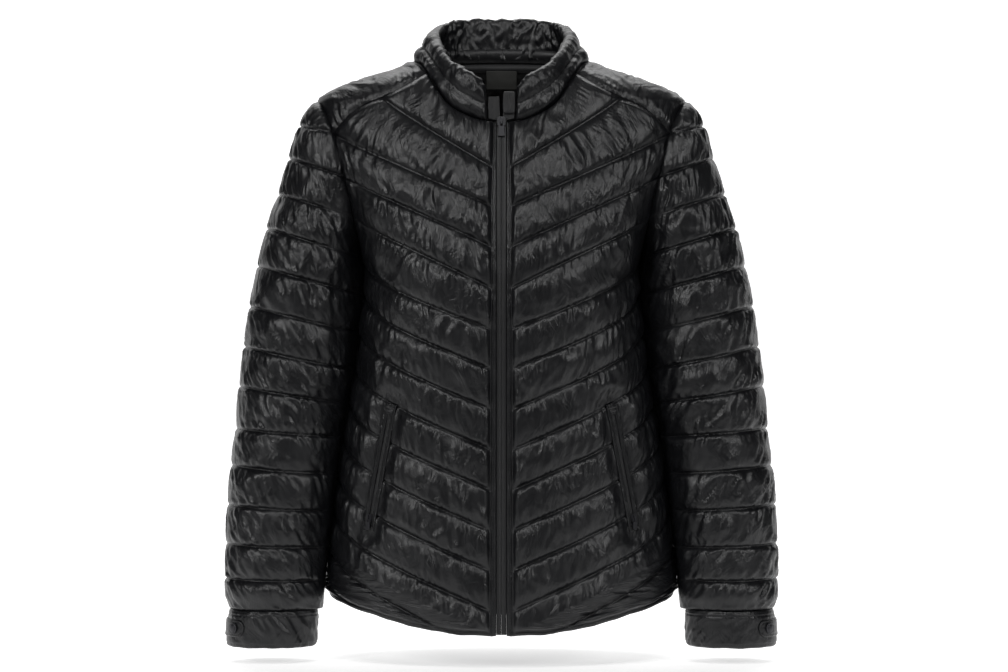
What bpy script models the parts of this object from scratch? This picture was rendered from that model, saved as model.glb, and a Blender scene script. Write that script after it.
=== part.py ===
"""Quilted puffer jacket as worn: hollow, open at neck, hem and cuffs. Tables are in millimetres.

X is across, with the wearer's left at +X. The front faces -Y. Z is up, with 0 half way down the shoulder slope.
"""

import math

import bmesh
import bpy
import numpy as np
from mathutils import Matrix, Vector

MM = 0.001
ROUND = 2.3            # exponent of the torso's rings
WALL = 2.6             # cloth and lining where they are stitched together
PUFF = 5.5             # how far a channel stands over its stitch lines
SEAM_GAP = 0.2         # each piece keeps this far from the seam line
BACK_SEAM = 2.6        # times that where the back's rows don't meet the yoke's
CREST = 2.6            # exponent of a channel's bulge
COLUMNS = 11           # across one front
RING_HALF = 9          # columns from the outer arm to its seam
CF_EDGE = 5.6          # half width between the two folded front edges
CF_STITCH = 10.5       # where the quilting starts beside the zip

# Torso rings at the stitch lines: height, half width, depth in front, depth behind.
BODY = np.array([
    (26, 88, 22, 53), (22, 98, 26, 56), (10, 122, 38, 64), (0, 153, 48, 70), (-10, 183, 55, 74),
    (-20, 202, 61, 78), (-28, 210, 65, 80), (-45, 212, 73, 84), (-65, 210, 83, 89), (-109, 201, 100, 97),
    (-146, 186, 111, 100), (-175, 172, 118, 101), (-189, 165, 121, 101), (-205, 159, 123, 100),
    (-230, 153, 126, 98), (-253, 152.5, 126, 95), (-290, 157, 123, 90), (-327, 161, 119, 86),
    (-368, 167.5, 115, 85), (-417, 176.7, 114, 87), (-475, 184.7, 116, 93), (-525, 190.5, 118, 99),
    (-569, 195, 120, 103), (-600, 197.5, 122, 106), (-640, 199, 123, 107)], float)

# Armhole seam from the shoulder tip to the armpit: height, half depth in front, half depth behind.
ARMHOLE = np.array([
    (-28, 0, 0), (-33, 17, 17), (-46, 31, 30), (-65, 41, 39), (-80, 47, 44), (-101, 52, 48),
    (-115, 54, 49), (-128, 55, 49), (-147, 53, 47), (-160, 49, 44), (-173, 43, 38), (-187, 32, 28),
    (-197, 20, 18), (-205, 0, 0)], float)
ARM_CORNER = 3         # row of ARMHOLE where the yoke seam arrives
ARM_LOW = 8            # rows from here face the body across the armpit's fold

# Seams in front view: x, height.
NECK_FRONT = [(5.6, -54), (20, -52.5), (35, -48), (50, -40.5), (62, -31), (72, -17), (79, -4), (84, 5)]
NECK_BACK = [(0, 24), (20, 24), (40, 23.5), (60, 23), (78, 22.5)]
YOKE_FRONT = [(84, 5), (95, -3.5), (118.6, -17.6), (134.5, -24.5), (153.8, -33), (172, -45)]
YOKE_BACK = [(78, 22.5), (98, 9), (118, -6), (138, -20), (158, -35), (176, -50)]
HEM = [(0, -626), (40, -625), (85, -619), (125, -610), (160, -601), (199, -590)]
HEM_CENTRE, HEM_SIDE = -626, -590

# Stitch lines: height at the centre, and where the outer end lies: on the yoke seam (its share, 0 at the
# neck), at a row of ARMHOLE, or on the side seam (its height).
YOKE_END, ARM_END, SIDE_END = 0, 1, 2
LINES_ARM = [(-109.6, YOKE_END, 0.46), (-153, ARM_END, 3), (-198.5, ARM_END, 6), (-243.7, ARM_END, 9)]
LINES_SIDE = [(-288.4, SIDE_END, -205), (-333, SIDE_END, -242), (-377.8, SIDE_END, -284),
              (-422.5, SIDE_END, -326), (-467.2, SIDE_END, -368), (-511.9, SIDE_END, -410),
              (-556.6, SIDE_END, -451), (-601.3, SIDE_END, -492)]
BACK_TOP_LINE = -50.0  # one more line above them behind
SHOULDERS = (0.28, 0.72)  # rows between two stitch lines
HEM_LINE_SIDE = (-529, -566)  # two last lines run from the hem to these heights on the side seam
HEM_LINE_X = (55, 150)        # and start here on the hem

# Sleeve rings: height and x at the outer arm, height and x at the inner arm, half depth, depth of the middle.
# The first rows end on the armhole instead, at the row of ARMHOLE in the last column.
SLEEVE_CAP = np.array([
    (-28, 210, 0, 0, 0), (-34, 216, 19, 0, 1), (-44, 223.5, 34, 0, 2), (-55, 228, 45, 0, 3),
    (-65, 232, 50, 0, 4), (-82, 237, 56, 0, 5), (-92, 240, 59, 0, 6), (-103, 243.5, 61, 0, 7),
    (-121, 249, 63, 0, 8), (-133, 252.5, 64, 0, 9), (-144, 256, 65, 0, 10), (-155, 260, 65.5, 0, 11),
    (-164, 263, 66, 0, 12), (-172, 265.5, 66, 0, 13)], float)
SLEEVE = np.array([
    (-172, 265.5, -205, 159, 66, 0), (-215, 276, -246, 165.5, 66, 0), (-261, 285, -289, 169.5, 66, -1),
    (-307, 291, -332, 174, 65, -3), (-352, 296.5, -370, 180, 62, -6), (-400, 300, -408, 187.5, 59, -10),
    (-442, 305, -450, 194, 56, -15), (-486, 308.5, -492, 199, 53, -20), (-530, 310, -533, 204, 49, -25),
    (-569, 310, -570, 207.5, 46, -30), (-603, 308, -603, 211.5, 43, -34), (-645, 311, -645, 212, 39, -38)], float)
CAP_LINES = (0, 3, 6, 9, 13)  # rows of SLEEVE_CAP that are stitched
CUFF_ROW = 10                 # row of SLEEVE where the cuff starts

# Collar: share of the way round from the front, then x, y and height of the rim's crest.
RIM = np.array([
    (0, 18, -74, -15), (0.07, 26, -74, -4), (0.17, 42, -68, 6), (0.28, 57, -54, 18), (0.4, 69, -32, 36),
    (0.52, 75, -6, 53), (0.64, 72, 20, 65), (0.76, 59, 41, 72), (0.88, 33, 53, 76), (1, 0, 57, 77)], float)
# Section of the collar: out from the line between seam and crest, and share of its height.
COLLAR_SECTION = [(0, 0), (4.5, 0.14), (5.5, 0.3), (2, 0.47), (5.5, 0.62), (6, 0.8), (3.5, 0.95),
                  (-1, 1.01), (-5.5, 0.95), (-7, 0.8), (-6.5, 0.5), (-6, 0.2), (-5, 0)]
COLLAR_HALF = 16
COLLAR_START = 15.0

# Pockets: x and height at the top and the bottom of the opening.
POCKET = ((122, -370), (148, -512))
WELT_WIDTH, WELT_SLOT, WELT_LIFT, WELT_THICK = 15.0, 4.4, 1.2, 1.6
PULL_RANGE_CLEAR = 0.35

for old in list(bpy.data.objects):
    bpy.data.objects.remove(old, do_unlink=True)


def smooth(at, xs, ys):
    """Monotone cubic through a table whose xs rise."""
    xs = np.asarray(xs, float)
    ys = np.asarray(ys, float)
    step = np.diff(xs)
    slope = np.diff(ys) / step
    tangent = np.concatenate([slope[:1], np.zeros(len(xs) - 2), slope[-1:]])
    same = slope[1:] * slope[:-1] > 0
    pair = np.where(same, slope[1:] + slope[:-1], 1)
    tangent[1:-1] = np.where(same, 2 * slope[1:] * slope[:-1] / pair, 0)
    at = np.clip(np.asarray(at, float), xs[0], xs[-1])
    i = np.clip(np.searchsorted(xs, at, side="right") - 1, 0, len(xs) - 2)
    t = (at - xs[i]) / step[i]
    rise = (3 - 2 * t) * t * t
    return (ys[i] * (1 - rise) + ys[i + 1] * rise
            + step[i] * t * (1 - t) * (tangent[i] * (1 - t) - tangent[i + 1] * t))


def ease(value):
    value = np.clip(value, 0, 1)
    return value * value * (3 - 2 * value)


def unit(vectors):
    return vectors / np.maximum(np.linalg.norm(vectors, axis=-1, keepdims=True), 1e-9)


def ring(z, side):
    """Half width and depth of the torso's ring; side is -1 in front and 1 behind."""
    rows = BODY[::-1]
    return smooth(z, rows[:, 0], rows[:, 1]), smooth(z, rows[:, 0], rows[:, 3 if side > 0 else 2])


def share_table(z, side):
    """Angles of a quarter ring and the share of its length reached at each, for every height in z."""
    wide, deep = ring(z, side)
    turn = np.linspace(0, math.pi / 2, 97)
    x = wide[..., None] * np.sin(turn) ** (2 / ROUND)
    y = deep[..., None] * np.cos(turn) ** (2 / ROUND)
    run = np.cumsum(np.hypot(np.diff(x, axis=-1), np.diff(y, axis=-1)), axis=-1)
    run = np.concatenate([np.zeros(run.shape[:-1] + (1,)), run], axis=-1)
    return turn, run / run[..., -1:]


def torso(share, z, side):
    """Torso surface for x over 0: share is 0 at the centre line and 1 at the side, by length round the ring."""
    share, z = np.broadcast_arrays(np.asarray(share, float), np.asarray(z, float))
    turn, run = share_table(z, side)
    flat_share, flat_run = share.ravel(), run.reshape(-1, run.shape[-1])
    angle = np.array([np.interp(s, r, turn) for s, r in zip(flat_share, flat_run)]).reshape(share.shape)
    wide, deep = ring(z, side)
    return np.stack([wide * np.sin(angle) ** (2 / ROUND), side * deep * np.cos(angle) ** (2 / ROUND), z], -1)


def torso_normal(share, z, side):
    share = np.asarray(share, float)
    low, high = np.maximum(share - 0.01, 0), np.minimum(share + 0.01, 1)
    along = torso(high, z, side) - torso(low, z, side)
    up = torso(share, np.asarray(z) + 0.5, side) - torso(share, np.asarray(z) - 0.5, side)
    normal = unit(np.cross(along, up) * -side)
    normal[..., 0] = np.where(share <= 0, 0, normal[..., 0])
    return unit(normal)


def share_at(x, z, side):
    """Share round the ring of the point with this x."""
    x, z = np.broadcast_arrays(np.asarray(x, float), np.asarray(z, float))
    wide, _ = ring(z, side)
    angle = np.arcsin(np.clip(x / wide, 0, 1) ** (ROUND / 2))
    turn, run = share_table(z, side)
    flat = [np.interp(a, turn, r) for a, r in zip(angle.ravel(), run.reshape(-1, run.shape[-1]))]
    return np.array(flat).reshape(x.shape)


def arm_share(row, side):
    """Share round the torso at a row of ARMHOLE."""
    z, depth = ARMHOLE[row, 0], ARMHOLE[row, 2 if side > 0 else 1]
    wide, deep = ring(z, side)
    angle = math.acos((depth / deep) ** (ROUND / 2))
    return share_at(wide * math.sin(angle) ** (2 / ROUND), z, side)


def path(points, at):
    """Point at the share `at` along a seam given by x and height."""
    points = np.asarray(points, float)
    run = np.concatenate([[0], np.cumsum(np.hypot(*np.diff(points, axis=0).T))])
    return np.stack([smooth(at, run / run[-1], points[:, k]) for k in (0, 1)], -1)


def seam_points(points, at, side):
    """Share and height, the torso's two coordinates, along a seam."""
    xz = path(points, at)
    return np.stack([share_at(xz[..., 0], xz[..., 1], side), xz[..., 1]], -1)


def yoke_seam(side):
    """The yoke seam's points, from the neck to its corner on the armhole."""
    corner = torso(arm_share(ARM_CORNER, side), ARMHOLE[ARM_CORNER, 0], side)
    return (YOKE_BACK if side > 0 else YOKE_FRONT) + [(float(corner[0]), float(corner[2]))]


def arm_lean(row, side):
    """Direction across the wall at the armhole: half way between the body's and the sleeve's own."""
    z, depth = ARMHOLE[row, 0], side * ARMHOLE[row, 2 if side > 0 else 1]
    top, bottom = ARMHOLE[0, 0], ARMHOLE[-1, 0]
    up = (z - (top + bottom) / 2) / ((top - bottom) / 2)
    return unit(np.array([0.8 * max(up, 0), depth / 54, up]))


def fold_ease(points):
    """0 in the armpit's fold, 1 a hand's breadth from it: the channels flatten there."""
    low = np.array([torso(arm_share(r, s), ARMHOLE[r, 0], s) for s in (-1, 1) for r in range(ARM_LOW, len(ARMHOLE))])
    far = np.linalg.norm(points[..., None, :] - low, axis=-1).min(axis=-1)
    return ease(far / 52)


def crest(share):
    """Bulge of a channel across its width."""
    return 1 - np.abs(2 * np.asarray(share) - 1) ** CREST


def wall(outer, inner, keep, closed_from=None, open_left=0):
    """Faces of a closed wall. The inner side has only the rows in keep.

    From row closed_from down, the last column is the first. Down to row open_left, the left edge gets no rim,
    as a mirrored half meets it there. A row whose points are all one becomes a tip.
    """
    rows, columns = outer.shape[:2]
    out_id = np.arange(rows * columns).reshape(rows, columns)
    in_id = rows * columns + np.arange(len(keep) * columns).reshape(len(keep), columns)
    points = np.concatenate([outer.reshape(-1, 3), inner[keep].reshape(-1, 3)])
    for ids, numbers in ((out_id, range(rows)), (in_id, keep)):
        for row, number in enumerate(numbers):
            if closed_from is not None and number >= closed_from:
                ids[row, -1] = ids[row, 0]
            if number in (0, rows - 1) and np.ptp(outer[number], axis=0).max() < 1e-6:
                ids[row, :] = ids[row, 0]
    faces = []
    for c in range(columns - 1):
        for r in range(rows - 1):
            faces.append((out_id[r, c], out_id[r + 1, c], out_id[r + 1, c + 1], out_id[r, c + 1]))
        for r in range(len(keep) - 1):
            faces.append((in_id[r, c], in_id[r, c + 1], in_id[r + 1, c + 1], in_id[r + 1, c]))
        faces.append((out_id[0, c], out_id[0, c + 1], in_id[0, c + 1], in_id[0, c]))
        faces.append((out_id[-1, c + 1], out_id[-1, c], in_id[-1, c], in_id[-1, c + 1]))
    last_side = rows - 1 if closed_from is None else closed_from
    for k in range(len(keep) - 1):
        top, bottom = keep[k], keep[k + 1]
        if bottom > last_side:
            continue
        middle = (top + bottom) // 2
        for column, flip in ((0, True), (columns - 1, False)):
            if column == 0 and bottom <= open_left:
                continue
            strip = [(out_id[r, column], out_id[r + 1, column], in_id[k if r < middle else k + 1, column])
                     for r in range(top, bottom)]
            strip.append((out_id[middle, column], in_id[k + 1, column], in_id[k, column]))
            faces += [face[::-1] if flip else face for face in strip]
    return points, faces


def mesh_object(name, points, faces, colour, rough=0.5, metal=0.0, flip=False, smooth_faces=True, place=None):
    """One closed solid from points in mm, welded where they coincide."""
    mesh = bmesh.new()
    made = [mesh.verts.new(Vector([float(v) for v in p]) * MM) for p in points]
    for face in faces:
        ids = [v for i, v in enumerate(face) if v != face[i - 1]]
        if len(set(ids)) > 2:
            order = ids[::-1] if flip else ids
            try:
                mesh.faces.new([made[i] for i in order])
            except ValueError:
                pass
    bmesh.ops.delete(mesh, geom=[v for v in mesh.verts if not v.link_faces], context="VERTS")
    bmesh.ops.remove_doubles(mesh, verts=mesh.verts, dist=2e-6)
    bmesh.ops.triangulate(mesh, faces=mesh.faces)
    bmesh.ops.recalc_face_normals(mesh, faces=mesh.faces)
    if mesh.calc_volume(signed=True) < 0:
        bmesh.ops.reverse_faces(mesh, faces=mesh.faces)
    data = bpy.data.meshes.new(name)
    mesh.to_mesh(data)
    mesh.free()
    for polygon in data.polygons:
        polygon.use_smooth = smooth_faces
    material = bpy.data.materials.new(name)
    material.use_nodes = True
    shader = material.node_tree.nodes["Principled BSDF"]
    shader.inputs["Base Color"].default_value = (*colour, 1)
    shader.inputs["Roughness"].default_value = rough
    shader.inputs["Metallic"].default_value = metal
    data.materials.append(material)
    made_object = bpy.data.objects.new(name, data)
    if place is not None:
        made_object.matrix_world = place
    bpy.context.scene.collection.objects.link(made_object)
    return made_object


SHELL = (0.012, 0.013, 0.016)
LINING = (0.02, 0.02, 0.022)
TRIM = (0.008, 0.008, 0.009)
METAL = (0.03, 0.03, 0.032)


def mirrored(points):
    return points * np.array([-1, 1, 1])


def body_rows(side):
    """Rows of a front or half back: share and height at the centre edge and the outer edge, place in the
    channel, and whether the row is a stitch line."""
    edge_x = CF_EDGE if side < 0 else 0
    yoke = yoke_seam(side)
    rows = []

    def outer_end(kind, value):
        if kind == YOKE_END:
            return seam_points(yoke, value, side)
        if kind == ARM_END:
            return np.array([arm_share(value, side), ARMHOLE[value, 0]])
        return np.array([1.0, value])

    def centre(z):
        return np.array([share_at(edge_x, z, side), z])

    def add(left, right, place, stitched):
        rows.append((left, right, place, stitched))

    neck_z = NECK_FRONT[0][1] if side < 0 else NECK_BACK[0][1]
    top_lines = [(neck_z, YOKE_END, 0.0)]
    if side > 0:
        top_lines.append((BACK_TOP_LINE, YOKE_END, 0.3))
    lines = top_lines + LINES_ARM
    for (z0, kind0, v0), (z1, kind1, v1) in zip(lines[:-1], lines[1:]):
        for place in (0.0,) + SHOULDERS:
            z = z0 + (z1 - z0) * place
            if kind1 == ARM_END and kind0 == ARM_END:
                end = outer_end(ARM_END, v0 + round(place * 3 + 0.1))
            elif kind1 == ARM_END:
                end = outer_end(YOKE_END, v0 + (1 - v0) * place)
            else:
                end = outer_end(YOKE_END, v0 + (v1 - v0) * place)
            add(centre(z), end, place, place == 0)
    z0, z1 = LINES_ARM[-1][0], LINES_SIDE[0][0]
    for step, place in enumerate((0.0, 0.28, 0.55, 0.8)):
        add(centre(z0 + (z1 - z0) * place), outer_end(ARM_END, 9 + step), place, place == 0)
    for (z0, _, v0), (z1, _, v1) in zip(LINES_SIDE[:-1], LINES_SIDE[1:]):
        for place in (0.0,) + SHOULDERS:
            add(centre(z0 + (z1 - z0) * place), outer_end(SIDE_END, v0 + (v1 - v0) * place), place, place == 0)
    corner = len(rows)
    z_last, _, v_last = LINES_SIDE[-1]

    def hem(x):
        z = smooth(x, [p[0] for p in HEM], [p[1] for p in HEM])
        return np.array([share_at(x, z, side), z])

    first = (z_last - HEM_CENTRE) / (z_last - HEM_CENTRE + 20)
    add(centre(z_last), outer_end(SIDE_END, v_last), 0.0, True)
    middle_side = v_last + (HEM_LINE_SIDE[0] - v_last) * first
    add(centre((z_last + HEM_CENTRE) / 2), outer_end(SIDE_END, (v_last + middle_side) / 2), first / 2, False)
    add(centre(HEM_CENTRE), outer_end(SIDE_END, middle_side), first, False)
    corner += 2
    for share in (0.5, 1.0):
        stop = middle_side + (HEM_LINE_SIDE[0] - middle_side) * share
        place = first + (1 - first) * share
        add(hem(edge_x + (HEM_LINE_X[0] - edge_x) * share), outer_end(SIDE_END, stop), place % 1, share == 1)
    for share in (0.2, 0.4, 0.6, 0.8, 1.0):
        stop = HEM_LINE_SIDE[0] + (HEM_LINE_SIDE[1] - HEM_LINE_SIDE[0]) * share
        x = HEM_LINE_X[0] + (HEM_LINE_X[1] - HEM_LINE_X[0]) * share
        add(hem(x), outer_end(SIDE_END, stop), share % 1, share == 1)
    for share in (0.5, 1.0):
        stop = HEM_LINE_SIDE[1] + (HEM_SIDE - HEM_LINE_SIDE[1]) * share
        x = HEM_LINE_X[1] + (HEM[-1][0] - HEM_LINE_X[1]) * share
        end = outer_end(SIDE_END, stop)
        add(end if share == 1 else hem(x), end, share / 2, share == 1)
    return rows, corner


def body_grid(side):
    """Outer and inner points of a front or half back on the x > 0 side, rows from the neck to the hem."""
    rows, corner = body_rows(side)
    count = len(rows)
    grid = np.zeros((count, COLUMNS + 1, 2))
    place = np.array([row[2] for row in rows])
    for r, (left, right, _, _) in enumerate(rows):
        if side < 0:
            stitch = min((CF_STITCH - CF_EDGE) / 190, 0.5)
            across = np.concatenate([[0], np.linspace(stitch, 1, COLUMNS)])
        else:
            across = np.linspace(0, 1, COLUMNS + 1)
        grid[r] = left + (right - left) * across[:, None]
    neck = NECK_BACK if side > 0 else NECK_FRONT
    across = (grid[0, :, 0] - grid[0, 0, 0]) / (grid[0, -1, 0] - grid[0, 0, 0])
    top = seam_points(neck, across, side)
    bend = top - grid[0]
    top_channel = 3
    for r in range(top_channel):
        grid[r] += bend * (1 - place[r])
    share, z = grid[..., 0], grid[..., 1]
    surface = torso(share, z, side)
    normal = torso_normal(share, z, side)
    along = np.ones(COLUMNS + 1)
    along[-1] = 0
    if side < 0:
        along[:2] = 0
    bulge = PUFF * crest(place)[:, None] * along * fold_ease(surface)
    if side > 0:
        bulge[corner:, 0] = 0
    else:
        bulge *= pocket_ease(surface)
    bulge[-1] = 0
    outer = surface + normal * bulge[..., None]
    lean = normal.copy()
    shift = np.zeros_like(surface)
    shift[:, -1] += unit(surface[:, -2] - surface[:, -1])
    if side > 0:
        shift[:9, -1] *= BACK_SEAM
    if side < 0:
        shift[corner:, 0] += unit(surface[corner:, 1] - surface[corner:, 0])
    shift[0] += unit(surface[1] - surface[0])
    shift[-1] = unit(surface[-3, -1] - surface[-1, -1]) * 2 + np.array([-1.0, side, 0])
    for r, (_, right, _, _) in enumerate(rows):
        hits = np.flatnonzero(np.abs(ARMHOLE[:, 0] - right[1]) < 1e-6)
        if len(hits) and hits[0] >= ARM_CORNER and right[0] > 0.5 and r < corner:
            lean[r, -1] = arm_lean(hits[0], side)
            shift[r, -1] = np.array([-1.0, side * (hits[0] == len(ARMHOLE) - 1), -1.2 * (hits[0] == ARM_CORNER)])
    outer = outer + shift * SEAM_GAP
    inner = surface - lean * WALL + shift * SEAM_GAP
    armpit = next(r for r, row in enumerate(rows) if row[1][0] == 1)
    stitched = [r for r, row in enumerate(rows) if row[3]]
    keep = sorted(set(stitched) | set(range(armpit + 1)) | set(range(corner, count)))
    return outer, inner, keep, corner


def pocket_ease(points):
    """0 under the pocket's welt and 1 clear of it."""
    (x0, z0), (x1, z1) = POCKET
    start, run = np.array([x0, z0]), np.array([x1 - x0, z1 - z0])
    flat = points[..., [0, 2]] - start
    share = np.clip((flat @ run) / (run @ run), 0, 1)
    far = np.linalg.norm(flat - share[..., None] * run, axis=-1)
    return ease((far - 8) / 14)


def build_fronts():
    outer, inner, keep, _ = body_grid(-1)
    points, faces = wall(outer, inner, keep)
    mesh_object("front_left", points, faces, SHELL)
    mesh_object("front_right", mirrored(points), faces, SHELL, flip=True)


def build_back():
    outer, inner, keep, corner = body_grid(1)
    points, faces = wall(outer, inner, keep, open_left=corner)
    both = np.concatenate([points, mirrored(points)])
    faces = [face[::-1] for face in faces] + [tuple(i + len(points) for i in face) for face in faces]
    mesh_object("back", both, faces, SHELL)


def build_yokes():
    """Plain shoulder pieces: a grid between the front and back yoke seams, the neck and the armhole."""
    steps = 6
    along = np.array([0, 0.28, 0.72, 1, 0, 0, 0]) * LINES_ARM[0][2]
    along[4:] = [LINES_ARM[0][2] + (1 - LINES_ARM[0][2]) * place for place in SHOULDERS + (1.0,)]
    front = seam_points(yoke_seam(-1), along, -1)
    back = seam_points(yoke_seam(1), along, 1)
    back[:, 0] = 2 - back[:, 0]
    turn = np.linspace(0, 1, steps + 1)
    neck = np.stack([np.interp(turn, [0, 0.5, 1], [front[0, 0], 1, back[0, 0]]),
                     smooth(turn, [0, 0.3, 0.6, 1], [front[0, 1], 17.5, 22, back[0, 1]])], -1)
    arm_rows = [3, 2, 1, 0, 1, 2, 3]
    arm = np.array([(arm_share(row, -1) if k <= 3 else 2 - arm_share(row, 1), ARMHOLE[row, 0])
                    for k, row in enumerate(arm_rows)])
    u, v = turn[:, None, None], along[None, :, None]
    grid = ((1 - u) * front[None] + u * back[None] + (1 - v) * neck[:, None] + v * arm[:, None]
            - (1 - u) * (1 - v) * front[0] - u * (1 - v) * back[0]
            - (1 - u) * v * front[-1] - u * v * back[-1])
    share, z = grid[..., 0], grid[..., 1]
    is_front = share <= 1
    surface = np.where(is_front[..., None], torso(np.minimum(share, 1), z, -1), torso(np.minimum(2 - share, 1), z, 1))
    normal = np.where(is_front[..., None], torso_normal(np.minimum(share, 1), z, -1),
                      torso_normal(np.minimum(2 - share, 1), z, 1))
    full = 1.6 * np.sin(math.pi * turn)[:, None] * np.sin(math.pi * along)[None]
    lean = normal.copy()
    lean[:, -1] = [arm_lean(row, -1 if k < 3 else 1) for k, row in enumerate(arm_rows)]
    shift = np.zeros_like(surface)
    shift[0] += unit(surface[1] - surface[0])
    shift[-1] += BACK_SEAM * unit(surface[-2] - surface[-1])
    shift[:, 0] += unit(surface[:, 1] - surface[:, 0])
    shift[:, -1] += np.array([-0.7, 0, 0.7])
    shift *= SEAM_GAP
    outer = surface + normal * full[..., None] + shift
    inner = surface - lean * WALL + shift
    outer, inner = outer[:, ::-1], inner[:, ::-1]
    points, faces = wall(outer, inner, list(range(steps + 1)))
    mesh_object("yoke_left", points, faces, SHELL)
    mesh_object("yoke_right", mirrored(points), faces, SHELL, flip=True)


def sleeve_rows():
    """Rows from the shoulder tip to the cuff: outer point, front and back ends, half depth, mid depth, place in
    the channel and whether it is stitched."""
    rows = []
    for k, (z, x, deep, mid, arm_row) in enumerate(SLEEVE_CAP[:-1]):
        arm_row = int(arm_row)
        ends = [torso(arm_share(arm_row, s), ARMHOLE[arm_row, 0], s) for s in (-1, 1)]
        line = max(i for i, row in enumerate(CAP_LINES) if row <= k)
        place = (k - CAP_LINES[line]) / (CAP_LINES[line + 1] - CAP_LINES[line])
        rows.append((np.array([x, mid, z]), ends, deep, mid, place, place == 0, arm_row))
    for k in range(CUFF_ROW):
        for place in (0.0,) + SHOULDERS:
            z, x, z_in, x_in, deep, mid = [smooth(k + place, np.arange(len(SLEEVE)), SLEEVE[:, c]) for c in range(6)]
            end = np.array([x_in, mid, z_in])
            rows.append((np.array([x, mid, z]), [end, end], deep, mid, place, place == 0, None))
    z, x, z_in, x_in, deep, mid = SLEEVE[CUFF_ROW]
    end = np.array([x_in, mid, z_in])
    rows.append((np.array([x, mid, z]), [end, end], deep, mid, 0.0, True, None))
    return rows


def ring_points(crown, ends, deep, mid, half=RING_HALF):
    """Points round the arm, from the front end over the crown to the back end: a half ellipse to each end."""
    out = np.zeros((2 * half + 1, 3))
    for k in range(2 * half + 1):
        side, end = (-1, ends[0]) if k <= half else (1, ends[1])
        reach = abs(end[1] - mid)
        stop = math.pi - math.asin(min(reach / max(deep, 1e-6), 1.0)) if deep > 0 else math.pi / 2
        turn = stop * abs(k - half) / half
        arm = (crown - end) / (1 - math.cos(stop))
        centre = crown - arm
        point = centre + arm * math.cos(turn)
        point[1] = mid + side * deep * math.sin(turn)
        out[k] = point
    return out


def grid_normals(grid):
    """Outward directions of a sleeve grid; columns run from the front end over the outer arm to the back."""
    down = np.gradient(grid, axis=0)
    around = np.gradient(grid, axis=1)
    closed = np.linalg.norm(grid[:, 0] - grid[:, -1], axis=-1) < 1e-6
    wrap = grid[:, 1] - grid[:, -2]
    around[closed, 0] = wrap[closed]
    around[closed, -1] = wrap[closed]
    return unit(np.cross(down, around))


def build_sleeves():
    rows = sleeve_rows()
    cap = sum(row[6] is not None for row in rows)
    grid = np.array([ring_points(*row[:4]) for row in rows])
    grid[0] = grid[0, RING_HALF]
    normal = grid_normals(grid)
    normal[0] = arm_lean(0, 1)
    place = np.array([row[4] for row in rows])
    bulge = PUFF * crest(place)[:, None] * fold_ease(grid)
    bulge[:cap, 0] = 0
    bulge[:cap, -1] = 0
    outer = grid + normal * bulge[..., None]
    lean = normal.copy()
    shift = np.zeros_like(grid)
    for r in range(cap + 1):
        arm_row = rows[r][6] if r < cap else len(ARMHOLE) - 1
        for column, side in ((0, -1), (-1, 1)):
            lean[r, column] = arm_lean(arm_row, side)
            shift[r, column] = (0.8, 0, -0.5) if r < CAP_LINES[1] else (1.0, 0, 0)
    lean[0] = lean[0, 0]
    shift[0] = (0.8, 0, -0.6)
    shift[-1] = (0, 0, 1.0)
    inner = grid - lean * WALL + shift * SEAM_GAP
    outer = outer + shift * SEAM_GAP
    keep = sorted({r for r, row in enumerate(rows) if row[5]} | set(range(cap + 1)))
    points, faces = wall(outer, inner, keep, closed_from=cap)
    mesh_object("sleeve_left", points, faces, SHELL)
    mesh_object("sleeve_right", mirrored(points), faces, SHELL, flip=True)


def cuff_point(turn, share, out=0.0):
    """Cuff surface: turn is 0 at the outer arm and 90 degrees in front; share is 0 at its seam, 1 at its edge."""
    turn, share = np.broadcast_arrays(np.asarray(turn, float), np.asarray(share, float))
    z, x, z_in, x_in, deep, mid = [SLEEVE[CUFF_ROW, c] + (SLEEVE[CUFF_ROW + 1, c] - SLEEVE[CUFF_ROW, c]) * share
                                   for c in range(6)]
    arm = (x - x_in) / 2
    normal = unit(np.stack([np.cos(turn) / arm, -np.sin(turn) / deep, np.zeros_like(turn)], -1))
    point = np.stack([(x + x_in) / 2 + arm * np.cos(turn), mid - deep * np.sin(turn), (z + z_in) / 2], -1)
    return point + normal * np.asarray(out)[..., None]


def build_cuffs():
    """Plain bands that finish the sleeves."""
    shares = np.array([0.0, 0.1, 0.5, 0.9, 1.0])
    turn = math.pi - math.tau * np.arange(2 * RING_HALF + 1)[:, None] / (2 * RING_HALF)
    swell = np.array([0, 1.6, 2.2, 1.6, 0])
    turn_grid = np.broadcast_to(turn.T, (len(shares), turn.shape[0]))
    share_grid = np.broadcast_to(shares[:, None], turn_grid.shape)
    outer = cuff_point(turn_grid, share_grid, np.broadcast_to(swell[:, None], turn_grid.shape))
    inner = cuff_point(turn_grid, share_grid, np.full(turn_grid.shape, -WALL))
    outer[0, :, 2] -= SEAM_GAP
    inner[0, :, 2] -= SEAM_GAP
    points, faces = wall(outer, inner, list(range(len(shares))), closed_from=0)
    mesh_object("cuff_left", points, faces, SHELL)
    mesh_object("cuff_right", mirrored(points), faces, SHELL, flip=True)


TAB_TURN = (-25, 56)      # degrees round the cuff, the rounded end in front
TAB_SHARE = (0.26, 0.72)  # share of the cuff's height
TAB_LIFT, TAB_THICK = 2.7, 1.6
SNAP_TURN, SNAP_SHARE, SNAP_WIDE, SNAP_HIGH = 38, 0.49, 13.0, 3.0


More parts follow.
